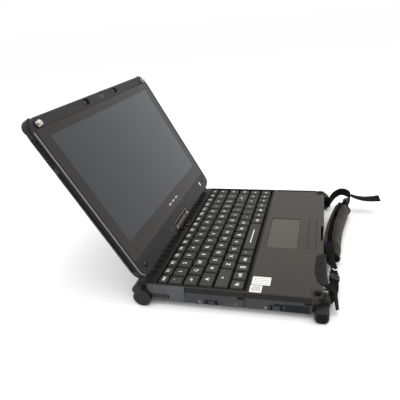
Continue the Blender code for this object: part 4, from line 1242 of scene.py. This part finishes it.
def build_flap():
    """Soft gusset that lies on the deck's front corner and folds down over its edge."""
    def line(t):
        """The gusset's middle line across the strap at t, from the deck over the front edge."""
        x = -52.5 - 66.0 * t
        near = ease(t, (0, -106.4), (0.1, -99.0), (0.62, -97.6), (0.85, -100.4), (1, -105.0))
        out = ease(t, (0, 0.0), (0.5, 1.0), (1, 3.4))
        drop = ease(t, (0, 21.0), (0.3, 17.5), (0.75, 14.0), (1, 17.0))
        z = DECK_Z + 0.62
        swell = ease(t, (0, 0.0), (0.3, 0.28), (0.8, 0.36), (1, 0.1))
        run = [(near, z - 0.35), ((near - 107.5) / 2, z + swell), (-106.4, z + 0.3 * swell),
               (-109.0, z - 0.3), (-110.2 - out * 0.7, z - 1.6), (-110.8 - out, (z + drop) / 2),
               (-110.9 - out, drop)]
        return [Vector((x, y, h)) for y, h in run]

    count, per_row, thick = 40, 20, 0.45
    loops = []
    for i in range(count):
        row = smooth_path(line(i / (count - 1)), per_row)
        upper, lower = [], []
        for k, spot in enumerate(row):
            ahead = (row[min(k + 1, per_row - 1)] - row[max(k - 1, 0)]).normalized()
            out = ahead.cross(Vector((1, 0, 0))).normalized() * thick
            upper.append(spot - out)
            lower.append(spot + out)
        loops.append(upper + lower[::-1])
    flap = piece("strap_gusset", loft(loops), "leather_black", angle=60)
    subdivide(flap)
    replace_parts(flap, "strap_flap")


def build_strap_hardware():
    """Buckle, keeper, printed mark, hems and the far end's slide."""
    lean = placed((0, -120.8, 10.5), -LEAN, "X")
    x0, x1 = -93.0, -83.0
    buckle = piece("buckle", boxes((x0, x1, -3.2, 3.2, -5.6, 5.6)), "buckle", place=lean)
    cutters = [boxes((x0 - 5, x1 + 5, -1.7, 1.7, -4.7, 4.7)),
               boxes((x0 + 2.0, x0 + 3.8, -5, -2.2, -3.9, 3.9)),
               boxes((x1 - 3.8, x1 - 2.0, -5, -2.2, -3.9, 3.9))]
    for bm in cutters:
        bmesh.ops.transform(bm, matrix=lean, verts=bm.verts)
    subtract(buckle, *cutters)
    rounding(buckle, 0.7, 3)
    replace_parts(buckle, "strap_buckle")
    ridges = boxes(*[(x, x + 0.6, -3.5, -3.0, -3.6, 3.6) for x in (x0 + 4.2, x0 + 5.3)])
    piece("buckle_ridges", ridges, "buckle", place=lean, bevel=0.2)
    keeper = boxes((-79.0, -75.5, -1.7, 1.7, -5.1, 5.1))
    piece("strap_keeper", keeper, "webbing", place=lean, bevel=0.5)
    mark = stroke(arc(-68.6, 0.0, 3.4, 130, 270, 10), 1.3, 1.0, 1.75)
    piece("webbing_mark", mark, "label", place=lean @ placed((0, 0, 0), 90, "X"), smooth=False)
    for side, sign in SIDES:
        x = sign * 123.0
        hem = boxes((x - 2.2, x + 2.2, -117.0, -113.5, 2.4, 18.6))
        piece(f"webbing_hem_{side}", hem, "webbing", bevel=0.9)
    turn = placed((109.5, -141.5, 14.5), -38, "Z")
    slide = boxes((-4.5, 4.5, -2.6, 2.6, -9.6, 9.6))
    piece("strap_slide", slide, "buckle", place=turn, bevel=0.9)
    ribs = boxes(*[(x, x + 1.0, -3.3, -2.4, -8.2, 8.2) for x in (-3.9, -1.7, 0.5, 2.7)])
    piece("strap_slide_ribs", ribs, "buckle", place=turn, bevel=0.3)


# ---------------------------------------------------------------- CAD nodes that stay
KEPT_NODES = {                # finish: width of the rounded edges, then the nodes that wear it
    "case": (0.3, "bottom_case"),
    "vent": (0.3, "vent_panel"),
    "door": (0.3, "drive_door", "battery_door_left", "battery_door_right", "card_door",
             "port_cover", "drive_latch", "battery_latch_left", "battery_latch_right"),
    "lid": (0.3, "lid_back_shell", "lid_bezel"),
    "steel": (0.0, "hinge_pin", "hinge_bearing", "latch_post_left", "latch_post_right"),
    "buckle": (0.0, "strap_loop_left", "strap_loop_right"),
    "copper": (0.0, "heat_sink", "heat_pipe"),
    "board": (0.0, "mainboard"),
    "cell": (0.0, "battery_pack_left", "battery_pack_right", "storage_drive"),
    "well": (0.0, "fan_housing", "fan_rotor", "speaker"),
    "glass": (0.0, "display_glass"),
    "lcd": (0.0, "lcd_panel"),
    "lens": (0.0, "camera_lens_left", "camera_lens_right"),
}


def finish_nodes():
    for finish, (width, *nodes) in KEPT_NODES.items():
        for node in nodes:
            soften(node, width, finish)


# ---------------------------------------------------------------- run
make_materials()
for build in (add_camera, add_lights, add_floor, build_keys, build_deck, build_labels,
              build_cameras, build_lid_print, build_lid_front, build_lid_edges, build_lid_back,
              build_hinge, build_sides, build_rear, build_bumpers, build_pad, build_webbing,
              build_flap, build_strap_hardware, finish_nodes):
    build()
